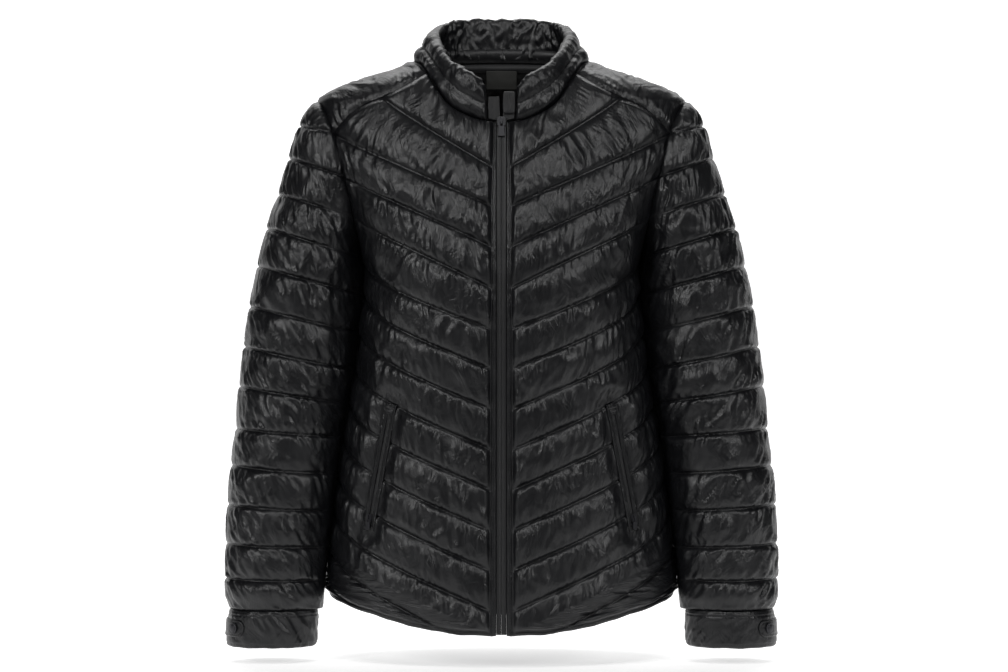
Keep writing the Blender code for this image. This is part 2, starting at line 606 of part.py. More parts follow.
def build_cuff_tabs():
    columns = 9
    turn = np.radians(np.linspace(*TAB_TURN, columns + 1))
    middle, half = sum(TAB_SHARE) / 2, (TAB_SHARE[1] - TAB_SHARE[0]) / 2
    narrow = np.ones(columns + 1)
    narrow[-2:] = (0.86, 0.45)
    across = np.linspace(-1, 1, 4)[:, None]
    share = middle + across * half * narrow[None]
    turn = np.broadcast_to(turn, share.shape)
    outer = cuff_point(turn, share, np.full(share.shape, TAB_LIFT + TAB_THICK))[:, ::-1]
    inner = cuff_point(turn, share, np.full(share.shape, TAB_LIFT))[:, ::-1]
    points, faces = wall(outer, inner, [0, 1, 2, 3])
    mesh_object("cuff_tab_left", points, faces, SHELL)
    mesh_object("cuff_tab_right", mirrored(points), faces, SHELL, flip=True)


def lathe(profile, segments=16):
    """Closed solid of revolution about local Z from pairs of radius and height, bottom to top."""
    points = [(0, 0, profile[0][1])]
    for radius, height in profile:
        points += [(radius * math.cos(math.tau * k / segments), radius * math.sin(math.tau * k / segments), height)
                   for k in range(segments)]
    points.append((0, 0, profile[-1][1]))
    faces = []
    for k in range(segments):
        after = (k + 1) % segments
        faces.append((0, 1 + after, 1 + k))
        for ring_number in range(len(profile) - 1):
            low = 1 + ring_number * segments
            faces.append((low + k, low + after, low + segments + after, low + segments + k))
        top = 1 + (len(profile) - 1) * segments
        faces.append((top + k, top + after, len(points) - 1))
    return np.array(points, float), faces


def placed(origin, across, out):
    """Frame in metres whose Y points into the garment, X along `across` and Z up the zip."""
    out = Vector([float(v) for v in out]).normalized()
    across = Vector([float(v) for v in across]).normalized()
    up = out.cross(across) * -1
    if up.z < 0:
        up = -up
    inward = up.cross(across)
    frame = Matrix((across, inward, up)).transposed().to_4x4()
    frame.translation = Vector([float(v) for v in origin]) * MM
    return frame


def build_snaps():
    profile = [(SNAP_WIDE / 2 - 0.6, 0), (SNAP_WIDE / 2, 0.7), (SNAP_WIDE / 2 - 0.5, 1.6),
               (SNAP_WIDE / 2 - 2.2, SNAP_HIGH - 0.5), (2.2, SNAP_HIGH)]
    points, faces = lathe(profile)
    turn = math.radians(SNAP_TURN)
    seat = cuff_point(turn, SNAP_SHARE, np.array(TAB_LIFT + TAB_THICK + 0.5))
    out = unit(cuff_point(turn, SNAP_SHARE, np.array(1.0)) - cuff_point(turn, SNAP_SHARE, np.array(0.0)))
    for name, sign in (("cuff_snap_left", 1), ("cuff_snap_right", -1)):
        flip = np.array([sign, 1, 1])
        normal = Vector([float(v) for v in out * flip])
        frame = normal.to_track_quat("Z", "Y").to_matrix().to_4x4()
        frame.translation = Vector([float(v) for v in seat * flip]) * MM
        mesh_object(name, points, faces, METAL, 0.35, 0.9, place=frame)


def neck_loop(count):
    """Neck seam from the front edge to the centre back, evenly spaced, with the direction along it."""
    fine = np.linspace(0, 1, 60)
    front = seam_points(NECK_FRONT, fine, -1)
    front = front[torso(front[:, 0], front[:, 1], -1)[:, 0] >= COLLAR_START]
    front_start, back_start = seam_points(NECK_FRONT, np.array(1.0), -1), seam_points(NECK_BACK, np.array(1.0), 1)
    side_z = smooth(fine, [0, 0.3, 0.6, 1], [front_start[1], 17.5, 22, back_start[1]])
    side_share = np.interp(fine, [0, 0.5, 1], [front_start[0], 1, 2 - back_start[0]])
    side = np.where((side_share <= 1)[:, None], torso(np.minimum(side_share, 1), side_z, -1),
                    torso(np.minimum(2 - side_share, 1), side_z, 1))
    back = seam_points(NECK_BACK, fine[::-1], 1)
    points = np.concatenate([torso(front[:, 0], front[:, 1], -1), side[1:], torso(back[:, 0], back[:, 1], 1)[1:]])
    run = np.concatenate([[0], np.cumsum(np.linalg.norm(np.diff(points, axis=0), axis=1))])
    at = np.linspace(0, run[-1], count + 1)
    return np.stack([np.interp(at, run, points[:, k]) for k in range(3)], -1)


def collar_frame():
    """Seam points, crest points and outward directions of the half collar."""
    seam = neck_loop(COLLAR_HALF)
    share = np.linspace(0, 1, COLLAR_HALF + 1)
    crest_line = np.stack([smooth(share, RIM[:, 0], RIM[:, k]) for k in (1, 2, 3)], -1)
    rise = crest_line - seam
    middle = (seam + crest_line) / 2
    along = np.gradient(middle, axis=0)
    along[-1] = (-1, 0, 0)
    out = unit(np.cross(along, rise))
    out[-1, 0] = 0
    return seam, rise, unit(out)


def collar_strip(section, lift=0.5):
    """Half strip of rings round the neck, each with one point for each pair of the section."""
    seam, rise, out = collar_frame()
    tall = np.linalg.norm(rise, axis=1)[:, None]
    up = rise / tall
    rings = [seam + up * (lift + share * (tall - lift)) + out * offset for offset, share in section]
    return np.stack(rings, 1)


def ring_solid(rings, mirror_last=True):
    """Closed tube along rings of points, capped at both ends; the half is mirrored to a whole."""
    if mirror_last:
        rings = np.concatenate([rings, mirrored(rings[:-1])[::-1]])
    count, size = rings.shape[:2]
    points = rings.reshape(-1, 3)
    faces = [tuple(range(size)), tuple(range(count * size - 1, (count - 1) * size - 1, -1))]
    for r in range(count - 1):
        for k in range(size):
            after = (k + 1) % size
            low = r * size
            faces.append((low + k, low + size + k, low + size + after, low + after))
    return points, faces


def build_collar():
    points, faces = ring_solid(collar_strip(COLLAR_SECTION))
    mesh_object("collar", points, faces, SHELL)
    back_share = 9
    facing = [(-5.6, 0.02), (-6.4, 0.2), (-6.9, 0.32), (-8.1, 0.32), (-7.6, 0.2), (-6.8, 0.02)]
    points, faces = ring_solid(collar_strip(facing)[back_share:])
    mesh_object("neck_facing", points, faces, LINING)
    tape = [(-4.2, -0.2), (-5.3, -0.02), (-6.4, -0.02), (-5.3, -0.2)]
    points, faces = ring_solid(collar_strip(tape)[back_share:])
    mesh_object("neck_tape", points, faces, TRIM, 0.8)


LABEL_WIDE, LABEL_TALL, LABEL_THICK = 36.0, 22.0, 0.8


def box(size, centre, bevel=0.0):
    """Box in mm with bevelled edges along Y, as points and faces."""
    sx, sy, sz = [v / 2 for v in size]
    b = bevel
    outline = [(sx - b, -sz), (sx, -sz + b), (sx, sz - b), (sx - b, sz), (-sx + b, sz), (-sx, sz - b),
               (-sx, -sz + b), (-sx + b, -sz)] if b else [(sx, -sz), (sx, sz), (-sx, sz), (-sx, -sz)]
    points = [(x + centre[0], centre[1] + y, z + centre[2]) for y in (-sy, sy) for x, z in outline]
    count = len(outline)
    faces = [tuple(range(count)), tuple(range(2 * count - 1, count - 1, -1))]
    faces += [(k, k + count, (k + 1) % count + count, (k + 1) % count) for k in range(count)]
    return np.array(points, float), faces


def build_label():
    seam = torso(0, NECK_BACK[0][1], 1)
    points, faces = box((LABEL_WIDE, LABEL_THICK, LABEL_TALL), (0, float(seam[1]) - 7.1, 5.0))
    mesh_object("neck_label", points, faces, (0.01, 0.01, 0.01), 0.7)


# Front zip: half the tape, in front view: height, inner x, outer x.
ZIP_TAPE = [(-25, 4, 13), (-38, 3.2, 13), (-50, 1.4, 12.6), (-51.5, 1.2, 5.2), (-62, 0.15, 5.2), (-623, 0.15, 5.2)]
ZIP_SET_BACK, ZIP_THICK = 0.9, 1.4
SLIDER_Z, SLIDER_OUT, SLIDER_LEAN = -54.0, 1.1, 0.28


def zip_y(z):
    """Depth of the zip's face at a height; above the neck seam it leans with the collar."""
    face = -ring(np.minimum(z, -54.0), -1)[1] + ZIP_SET_BACK
    return face + np.maximum(np.asarray(z) + 54.0, 0) * 0.1


def build_zip():
    table = np.array(ZIP_TAPE, float)[::-1]
    heights = np.concatenate([table[:0:-1, 0], np.linspace(-90, table[0, 0], 14)])
    near = np.interp(heights, table[:, 0], table[:, 1])
    far = np.interp(heights, table[:, 0], table[:, 2])
    y = zip_y(heights)
    outer = np.stack([np.stack([near, y, heights], -1), np.stack([far, y, heights], -1)], 1)
    inner = outer + np.array([0, ZIP_THICK, 0])
    points, faces = wall(outer, inner, list(range(len(heights))))
    mesh_object("zip_tape_left", points, faces, TRIM, 0.6)
    mesh_object("zip_tape_right", mirrored(points), faces, TRIM, 0.6, flip=True)
    y_guard = float(zip_y(np.array(-34.0)))
    points, faces = box((11, 2.2, 25), (8.6, y_guard - 3.0, -32.0), 1.5)
    mesh_object("zip_guard", points, faces, TRIM, 0.7)
    seat = np.array([0, float(zip_y(np.array(SLIDER_Z))) - SLIDER_OUT, SLIDER_Z])
    slider_pair("zip", seat, (1, 0, 0), (0, -1, SLIDER_LEAN), 1.0)


# Slider and pull, in a frame whose -Y points out of the garment, for a slider 9 mm wide.
SLIDER = {"wide": 9.0, "tall": 11.5, "thick": 2.6, "seat": 0.35}
BRIDGE = {"wide": 2.0, "reach": 4.4, "rise": 3.6, "thick": 1.1, "foot": 1.3}
PULL = {"wide": 7.4, "long": 18.0, "thick": 1.5, "hole_half": 1.5, "hole_end": 6.2, "bar": 0.8, "pin": 2.2}


def slider_pair(name, seat, across, out, scale):
    """Slider with its bridge, and the pull whose bar turns under the bridge."""
    frame = placed(seat, across, out)
    size = {key: value * scale for key, value in SLIDER.items()}
    bridge = {key: value * scale for key, value in BRIDGE.items()}
    bottom = -SLIDER["seat"]
    top = bottom - size["thick"]
    half, reach, foot = bridge["wide"] / 2, bridge["reach"], bridge["foot"]
    high, thick = top - bridge["rise"], bridge["thick"]
    body_pts, body_faces = box((size["wide"], size["thick"], size["tall"]), (0, (bottom + top) / 2, 0), 1.6 * scale)
    sunk, round_out, round_in = top + 0.6, high + 0.8, high + thick + 0.4
    arch_outline = [(reach, sunk), (reach, round_out), (reach - 1, high), (-reach + 1, high), (-reach, round_out),
                    (-reach, sunk), (-reach + foot, sunk), (-reach + foot, round_in),
                    (-reach + foot + 0.5, high + thick), (reach - foot - 0.5, high + thick),
                    (reach - foot, round_in), (reach - foot, sunk)]
    arch = np.array([(x, y, z) for x in (-half, half) for z, y in arch_outline])
    count = len(arch_outline)
    arch_faces = [(k, (k + 1) % count, (k + 1) % count + count, k + count) for k in range(count)]
    pairs = [(0, 1, 10, 11), (1, 2, 9, 10), (2, 3, 8, 9), (3, 4, 7, 8), (4, 5, 6, 7)]
    arch_faces += pairs + [tuple(i + count for i in face[::-1]) for face in pairs]
    joined = union((body_pts, body_faces), (arch, arch_faces))
    label = name + "_slider"
    mesh_object(label, *joined, METAL, 0.35, 0.9, smooth_faces=False, place=frame)
    pull = {key: value * scale for key, value in PULL.items()}
    pin = frame @ Matrix.Translation((0, (top - PULL_RANGE_CLEAR - pull["bar"]) * MM, 0))
    points, faces = pull_shape(pull)
    mesh_object(name + "_pull", points, faces, METAL, 0.35, 0.9, smooth_faces=False, place=pin)


def pull_shape(pull):
    """Flat tab with a slot at its eye, hanging down from the origin; the bar across its top is the hinge."""
    wide, hole, end, bar = pull["wide"] / 2, pull["hole_half"], pull["hole_end"], pull["bar"]
    xs = [-wide, -hole, hole, wide]
    zs = [bar, -bar, -end, -pull["long"]]
    taper = [0.62, 0.66, 0.86, 1.0]
    front, back = -pull["bar"], pull["bar"] * 0.9
    points, ids = [], {}
    for layer, y in enumerate((front, back)):
        for i, z in enumerate(zs):
            for j, x in enumerate(xs):
                ids[layer, i, j] = len(points)
                stretch = taper[i] if j in (0, 3) else 1.0
                points.append((x * stretch, y, z))
    cells = [(i, j) for i in range(3) for j in range(3) if (i, j) != (1, 1)]
    faces = []
    edges = {}
    for i, j in cells:
        loop = [(i, j), (i, j + 1), (i + 1, j + 1), (i + 1, j)]
        faces.append(tuple(ids[(0,) + c] for c in loop))
        faces.append(tuple(ids[(1,) + c] for c in loop[::-1]))
        for k in range(4):
            edges[loop[k], loop[(k + 1) % 4]] = True
    for a, b in edges:
        if (b, a) not in edges:
            faces.append((ids[(0,) + b], ids[(0,) + a], ids[(1,) + a], ids[(1,) + b]))
    return np.array(points), faces


def union(first, second):
    """Exact Boolean union of two closed solids given as points and faces."""
    made = []
    for k, (points, faces) in enumerate((first, second)):
        made.append(mesh_object(f"union_{k}", points, faces, METAL))
    modifier = made[0].modifiers.new("join", "BOOLEAN")
    modifier.operation, modifier.solver, modifier.object = "UNION", "EXACT", made[1]
    graph = bpy.context.evaluated_depsgraph_get()
    result = made[0].evaluated_get(graph).to_mesh()
    points = np.array([v.co[:] for v in result.vertices]) / MM
    faces = [tuple(p.vertices) for p in result.polygons]
    for item in made:
        bpy.data.objects.remove(item, do_unlink=True)
    return points, faces


def pocket_point(along, across, out=0.0):
    """Point of the welt: along is 0 at its top and 1 at its bottom, across in mm, out over the front's wall."""
    along, across = np.broadcast_arrays(np.asarray(along, float), np.asarray(across, float))
    (x0, z0), (x1, z1) = POCKET
    length = math.hypot(x1 - x0, z1 - z0)
    step = np.array([(z0 - z1) / length, (x1 - x0) / length])
    x = x0 + (x1 - x0) * along
    z = z0 + (z1 - z0) * along
    share = share_at(x, z, -1)
    quarter = np.linalg.norm(torso(np.minimum(share + 0.01, 1), z, -1) - torso(share - 0.01, z, -1), axis=-1) / 0.02
    share = share + across * step[0] / quarter
    z = z + across * step[1]
    return torso(share, z, -1) + torso_normal(share, z, -1) * np.asarray(out)[..., None]


def build_pockets():
    """Slanting zipped openings: a topstitched frame lying on the front, with the zip in its slot."""
    along = np.linspace(0, 1, 13)
    half, slot = WELT_WIDTH / 2, WELT_SLOT / 2
    across = np.array([-half, -slot, slot, half])
    low = pocket_point(along[:, None], across[None], np.full((13, 4), WELT_LIFT))
    high = pocket_point(along[:, None], across[None], np.full((13, 4), WELT_LIFT + WELT_THICK))
    points = np.concatenate([high.reshape(-1, 3), low.reshape(-1, 3)])
    faces, edges = [], {}
    size = 13 * 4
    for i in range(12):
        for j in range(3):
            if j == 1 and 0 < i < 11:
                continue
            loop = [i * 4 + j, (i + 1) * 4 + j, (i + 1) * 4 + j + 1, i * 4 + j + 1]
            faces += [tuple(loop), tuple(k + size for k in loop[::-1])]
            for k in range(4):
                edges[loop[k], loop[(k + 1) % 4]] = True
    faces += [(b, a, a + size, b + size) for a, b in edges if (b, a) not in edges]
    tape_along = np.linspace(1 / 12 + 0.006, 11 / 12 - 0.006, 11)
    tape_across = np.array([-slot + 0.35, slot - 0.35])
    tape_high = pocket_point(tape_along[:, None], tape_across[None], np.full((11, 2), WELT_LIFT + 1.0))
    tape_low = pocket_point(tape_along[:, None], tape_across[None], np.full((11, 2), WELT_LIFT))
    tape_points, tape_faces = wall(tape_high, tape_low, list(range(11)))
    seat = pocket_point(0.9, 0.0, np.array(WELT_LIFT + WELT_THICK + 0.1))
    out = pocket_point(0.9, 0.0, np.array(1.0)) - pocket_point(0.9, 0.0, np.array(0.0))
    level = np.cross((0, 0, 1), out)
    for word, sign in (("left", 1), ("right", -1)):
        flip = np.array([sign, 1, 1])
        mesh_object(f"pocket_welt_{word}", points * flip, faces, SHELL, flip=sign < 0)
        mesh_object(f"pocket_tape_{word}", tape_points * flip, tape_faces, TRIM, 0.6, flip=sign < 0)
        slider_pair(f"pocket_{word}", seat * flip, level * flip * sign, out * flip, 0.72)


build_fronts()
build_back()
build_yokes()
build_sleeves()
build_cuffs()
build_cuff_tabs()
build_snaps()
build_collar()
build_label()
build_zip()
build_pockets()
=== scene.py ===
"""Quilted puffer jacket: cloth, seams, zips and snaps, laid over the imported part. Tables are in mm."""

import math

import bpy
import numpy as np
from bpy.props import FloatProperty, FloatVectorProperty, IntProperty, PointerProperty
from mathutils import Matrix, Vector


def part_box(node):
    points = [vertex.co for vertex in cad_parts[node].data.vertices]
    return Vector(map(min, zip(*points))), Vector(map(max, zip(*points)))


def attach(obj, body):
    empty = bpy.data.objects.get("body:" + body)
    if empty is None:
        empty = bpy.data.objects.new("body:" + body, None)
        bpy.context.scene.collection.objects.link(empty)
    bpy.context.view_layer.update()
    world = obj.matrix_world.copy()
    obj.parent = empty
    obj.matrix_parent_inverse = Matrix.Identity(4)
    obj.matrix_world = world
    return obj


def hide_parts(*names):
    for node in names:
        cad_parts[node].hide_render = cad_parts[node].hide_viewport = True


bl_info = {
    "name": "Quilted puffer jacket",
    "version": (1, 0, 0),
    "blender": (4, 5, 0),
    "location": "View3D > Sidebar > Jacket",
    "description": "Builds a quilted jacket's cloth, seams, zips and snaps around its frame",
    "category": "Add Mesh",
}

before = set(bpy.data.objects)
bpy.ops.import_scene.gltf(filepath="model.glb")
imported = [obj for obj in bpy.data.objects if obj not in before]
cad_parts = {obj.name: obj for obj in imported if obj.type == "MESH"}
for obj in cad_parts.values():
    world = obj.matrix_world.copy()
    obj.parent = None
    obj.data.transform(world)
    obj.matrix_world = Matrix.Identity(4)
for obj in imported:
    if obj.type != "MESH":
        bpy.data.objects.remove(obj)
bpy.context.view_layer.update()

MM = 0.001
ROUND = 2.3            # exponent of the torso's rings
WALL = 2.6             # cloth and lining where they are stitched together
SEAM_GAP = 0.2         # each piece keeps this far from the seam line
SEAM_STAND = 0.45      # share of a channel's height that is left at a seam
SLEEVE_PUFF = (0.28, 0.85)  # share of the channels' height on the outer arm and in front
BODY_STAND = 4.9       # room the inner arm leaves for the body's channels beside it
BACK_SEAM = 2.6        # the gap is so many times wider where the back's rows don't meet the yoke's
CF_EDGE = 5.6          # half width between the two folded front edges
CF_STITCH = 10.5       # where the quilting starts beside the zip
FRONT_WIDE = 190       # run of a front's row, and of the back's from its middle
BACK_WIDE = 230
PLACKET_COLUMNS = 8    # columns of points between the folded edge and the quilting
YOKE_STAND = 3.4       # the plain yokes' filling over their seams
TOPSTITCH = 2.4        # from a seam or a tab's edge to the line sewn beside it
LINE_CROWD = 0.55      # how much closer together rows of points lie at the stitch lines
THREAD_LIFT, THREAD_FILL = 0.15, 0.72  # a stitch's height over the cloth, and its share of the spacing

# Torso rings at the stitch lines: height, half width, depth in front, depth behind.
BODY = np.array([
    (26, 88, 22, 53), (22, 98, 26, 56), (10, 122, 38, 64), (0, 153, 48, 70), (-10, 183, 55, 74),
    (-20, 202, 61, 78), (-28, 210, 65, 80), (-45, 212, 73, 84), (-65, 210, 83, 89), (-109, 201, 100, 97),
    (-146, 186, 111, 100), (-175, 172, 118, 101), (-189, 165, 121, 101), (-205, 159, 123, 100),
    (-230, 153, 126, 98), (-253, 152.5, 126, 95), (-290, 157, 123, 90), (-327, 161, 119, 86),
    (-368, 167.5, 115, 85), (-417, 176.7, 114, 87), (-475, 184.7, 116, 93), (-525, 190.5, 118, 99),
    (-569, 195, 120, 103), (-600, 197.5, 122, 106), (-640, 199, 123, 107)], float)

# Armhole seam from the shoulder tip to the armpit: height, half depth in front, half depth behind.
ARMHOLE = np.array([
    (-28, 0, 0), (-33, 17, 17), (-46, 31, 30), (-65, 41, 39), (-80, 47, 44), (-101, 52, 48),
    (-115, 54, 49), (-128, 55, 49), (-147, 53, 47), (-160, 49, 44), (-173, 43, 38), (-187, 32, 28),
    (-197, 20, 18), (-205, 0, 0)], float)
ARM_CORNER = 3         # row of ARMHOLE where the yoke seam arrives
ARM_LOW = 8            # rows from here face the body across the armpit's fold

# Seams in front view: x, height.
NECK_FRONT = [(5.6, -54), (20, -52.5), (35, -48), (50, -40.5), (62, -31), (72, -17), (79, -4), (84, 5)]
NECK_BACK = [(0, 24), (20, 24), (40, 23.5), (60, 23), (78, 22.5)]
YOKE_FRONT = [(84, 5), (95, -3.5), (118.6, -17.6), (134.5, -24.5), (153.8, -33), (172, -45)]
YOKE_BACK = [(78, 22.5), (98, 9), (118, -6), (138, -20), (158, -35), (176, -50)]
HEM = [(0, -626), (40, -625), (85, -619), (125, -610), (160, -601), (199, -590)]
HEM_CENTRE, HEM_SIDE = -626, -590

# Stitch lines: height at the centre, and where the outer end lies: on the yoke seam (its share, 0 at the
# neck), at a row of ARMHOLE, or on the side seam (its height).
YOKE_END, ARM_END, SIDE_END = 0, 1, 2
LINES_ARM = [(-109.6, YOKE_END, 0.46), (-153, ARM_END, 3), (-198.5, ARM_END, 6), (-243.7, ARM_END, 9)]
LINES_SIDE = [(-288.4, SIDE_END, -205), (-333, SIDE_END, -242), (-377.8, SIDE_END, -284),
              (-422.5, SIDE_END, -326), (-467.2, SIDE_END, -368), (-511.9, SIDE_END, -410),
              (-556.6, SIDE_END, -451), (-601.3, SIDE_END, -492)]
BACK_TOP_LINE = -50.0  # one more line above them behind
HEM_LINE_SIDE = (-529, -566)  # two last lines run from the hem to these heights on the side seam
HEM_LINE_X = (55, 150)        # and start here on the hem

# Sleeve rings: height and x at the outer arm, height and x at the inner arm, half depth, and depth of the
# middle. The cap's rings end on the armhole instead, each at the row of ARMHOLE with its own number.
SLEEVE_CAP = np.array([
    (-28, 210, 0, 0), (-34, 216, 19, 0), (-44, 223.5, 34, 0), (-55, 228, 45, 0),
    (-65, 232, 50, 0), (-82, 237, 56, 0), (-92, 240, 59, 0), (-103, 243.5, 61, 0),
    (-121, 249, 63, 0), (-133, 252.5, 64, 0), (-144, 256, 65, 0), (-155, 260, 65.5, 0),
    (-164, 263, 66, 0), (-172, 265.5, 66, 0)], float)
SLEEVE = np.array([
    (-172, 265.5, -205, 159, 66, 0), (-215, 276, -246, 165.5, 66, 0), (-261, 285, -289, 169.5, 66, -1),
    (-307, 291, -332, 174, 65, -3), (-352, 296.5, -370, 180, 62, -6), (-400, 300, -408, 187.5, 59, -10),
    (-442, 305, -450, 194, 56, -15), (-486, 308.5, -492, 199, 53, -20), (-530, 310, -533, 204, 49, -25),
    (-569, 310, -570, 207.5, 46, -30), (-603, 308, -603, 211.5, 43, -34),
    (-645, 311, -645, 212, 39, -38)], float)
CAP_LINES = (0, 3, 6, 9, 13)  # rows of SLEEVE_CAP that are stitched
CUFF_ROW = 10                 # row of SLEEVE where the cuff starts
CUFF_TALL = 42.0
CUFF_STITCHES = (3.0, 5.9, 38.6)  # lines sewn round the cuff, from its seam

# Collar: share of the way round from the front, then x, y and height of the rim's crest.
RIM = np.array([
    (0, 18, -74, -15), (0.07, 26, -74, -4), (0.17, 42, -68, 6), (0.28, 57, -54, 18), (0.4, 69, -32, 36),
    (0.52, 75, -6, 53), (0.64, 72, 20, 65), (0.76, 59, 41, 72), (0.88, 33, 53, 76), (1, 0, 57, 77)], float)
# Section of the collar: out from the line between seam and crest, and share of its height.
COLLAR_SECTION = np.array([
    (0, 0), (4.5, 0.14), (5.5, 0.3), (3.6, 0.47), (5.5, 0.62), (6, 0.8), (3.5, 0.95),
    (-1, 1.01), (-5.5, 0.95), (-7, 0.8), (-6.5, 0.5), (-6, 0.2), (-5, 0)], float)
COLLAR_START = 15.0    # x of the collar's end beside the zip
COLLAR_POINTS, COLLAR_RINGS = 84, 150  # round the section, and from the front to the centre back

# Pockets: x and height at the top and the bottom of the opening, and the welt round its slot.
POCKET = ((122, -370), (148, -512))
WELT_WIDTH, WELT_SLOT, WELT_LIFT, WELT_THICK = 15.0, 4.4, 2.4, 1.8
WELT_FOOT = 1 / 12        # share of the welt's length above the slot, and below it
WELT_LINES = (1.1, 2.9, 4.4)  # grooves, from the slot's edge; the first and the last are stitched
POCKET_RUN = math.hypot(POCKET[1][0] - POCKET[0][0], POCKET[1][1] - POCKET[0][1])

# Cuff tab and snap.
TAB_TURN = (-25, 56)      # degrees round the cuff, the rounded end in front
TAB_SHARE = (0.26, 0.72)  # share of the cuff's height
TAB_LIFT, TAB_THICK = 2.7, 1.6
SNAP_TURN, SNAP_SHARE, SNAP_WIDE, SNAP_HIGH = 38, 0.49, 13.0, 3.0

# Front zip: half the tape, in front view: height, inner x, outer x.
ZIP_TAPE = np.array([(-624.5, 0.03, 5.55), (-62, 0.03, 5.55), (-51.5, 1.2, 5.55), (-50, 1.4, 14.4),
                     (-38, 1.8, 15.2), (-25, 2.2, 15.2)], float)
ZIP_SET_BACK, ZIP_THICK = 0.9, 1.4
COIL_PITCH, POCKET_PITCH = 1.45, 1.15  # from turn to turn of the coils
GUARD_OVER, GUARD_RIB = 1.4, 1.7       # how far the guard reaches past its solid, and from rib to rib
LABEL_WIDE, LABEL_TALL, LABEL_THICK = 36.0, 22.0, 0.8

# Crossing creases of the body and of the sleeves: turn in degrees, length, spacing and height.
CREASES = [(74, 38, 14, 1.2), (112, 34, 13, 1.2), (32, 34, 15, 0.55), (150, 30, 13, 0.5)]
SLEEVE_CREASES = [(122, 38, 7, 1.5), (108, 40, 9.5, 1.1), (140, 26, 9, 0.6)]
# Small creases drawn in the shell's material: turn in degrees, length and spacing in m, and height.
FINE_FOLDS = [(-62, 0.021, 0.0056, 1.0), (-104, 0.019, 0.0052, 1.0), (-140, 0.014, 0.0048, 0.7)]

# Finishes, with bump heights in m. Tapes: colour in the settings, roughness, threads in a metre and bump.
SHELL = ("shell_nylon", "lining_nylon")
SHELL_BUMP, LINING_BUMP, WEAVE_BUMP, GRAIN_BUMP = 0.0006, 0.0004, 0.00001, 0.00003
SHELL_THREADS = 1900.0
TAPES = {"zip_cloth": ("trim", 0.5, 1300.0, 0.00002), "neck_cloth": ("trim", 0.6, 900.0, 0.00003),
         "label_cloth": ("label", 0.6, 2200.0, 0.00001), "thread": ("trim", 0.45, 2600.0, 0.00001)}
METAL_ROUGH = 0.38
METAL_BEVEL, METAL_SHARP = 0.00014, 35  # width in m, and the least edge angle in degrees

# Stage, in m. The paper glows from before the jacket to behind it, and its colour darkens towards the camera
# as painted shade on the floor before the jacket.
FLOOR_Z, FLOOR_WIDE = -0.664, 9
FLOOR_NEAR, FLOOR_BEND, FLOOR_END, FLOOR_TOP = -5, 5.5, 7.0, 7
PAPER_GLOW = (-0.6, 0.15)
PAPER_GLOW_STRENGTH = 0.82
# Painted shade: the paper's colour runs from dark before the jacket to pale under it.
PAPER_SHADE = (-1.6, -0.25, 0.12, 0.93)
WORLD_LIGHT, WORLD_SEEN = 0.02, 0.9
CAMERA_PLACE, CAMERA_LENS = (0.0029, -3.0, -0.294), 93.0
LIGHT_AIM = (0, 0, -0.3)
LIGHTS = [("key_left", (-1.9, -2.2, 1.0), (0.45, 0.8), 27), ("key_right", (1.9, -2.2, 1.0), (0.45, 0.8), 21),
          ("top", (0.0, -2.0, 1.9), (1.4, 0.35), 20), ("crown", (0.0, -0.3, 2.4), (2.6, 1.8), 2),
          ("back_wash", (0.0, 2.0, 3.0), (3.5, 1.2), 60)]


# ---- numbers ----

def smooth(at, xs, ys):
    """Monotone cubic through a table whose xs rise: Hermite pieces with harmonic mean slopes."""
    xs = np.asarray(xs, float)
    ys = np.asarray(ys, float)
    step = np.diff(xs)
    slope = np.diff(ys) / step
    tangent = np.concatenate([slope[:1], np.zeros(len(xs) - 2), slope[-1:]])
    same = slope[1:] * slope[:-1] > 0
    pair = np.where(same, slope[1:] + slope[:-1], 1)
    tangent[1:-1] = np.where(same, 2 * slope[1:] * slope[:-1] / pair, 0)
    at = np.clip(np.asarray(at, float), xs[0], xs[-1])
    i = np.clip(np.searchsorted(xs, at, side="right") - 1, 0, len(xs) - 2)
    t = (at - xs[i]) / step[i]
    rise = (3 - 2 * t) * t * t
    return (ys[i] * (1 - rise) + ys[i + 1] * rise
            + step[i] * t * (1 - t) * (tangent[i] * (1 - t) - tangent[i + 1] * t))


def table_at(row, table):
    """All columns of a table at a fractional row number."""
    numbers = np.arange(len(table))
    return np.stack([smooth(row, numbers, table[:, k]) for k in range(table.shape[1])], -1)


def ease(value):
    """Smooth step from 0 to 1: t^2 (3 - 2t), with t the value kept within 0 and 1."""
    value = np.clip(value, 0, 1)
    return value * value * (3 - 2 * value)


def unit(vectors):
    """Each vector over its own length."""
    return vectors / np.maximum(np.linalg.norm(vectors, axis=-1, keepdims=True), 1e-9)


def noise(u, v, seed):
    """Gradient noise: each lattice corner has a slope in a drawn direction, and the four are blended across
    the cell with the quintic ease. Runs from about -0.7 to 0.7."""
    cell_u, cell_v = np.floor(u), np.floor(v)
    part_u, part_v = u - cell_u, v - cell_v

    def corner(du, dv):
        drawn = np.sin((cell_u + du) * 127.1 + (cell_v + dv) * 311.7 + seed * 74.7) * 43758.5453
        turn = (drawn - np.floor(drawn)) * math.tau
        return np.cos(turn) * (part_u - du) + np.sin(turn) * (part_v - dv)

    blend_u = part_u ** 3 * (part_u * (part_u * 6 - 15) + 10)
    blend_v = part_v ** 3 * (part_v * (part_v * 6 - 15) + 10)
    low = corner(0, 0) * (1 - blend_u) + corner(1, 0) * blend_u
    high = corner(0, 1) * (1 - blend_u) + corner(1, 1) * blend_u
    return low * (1 - blend_v) + high * blend_v


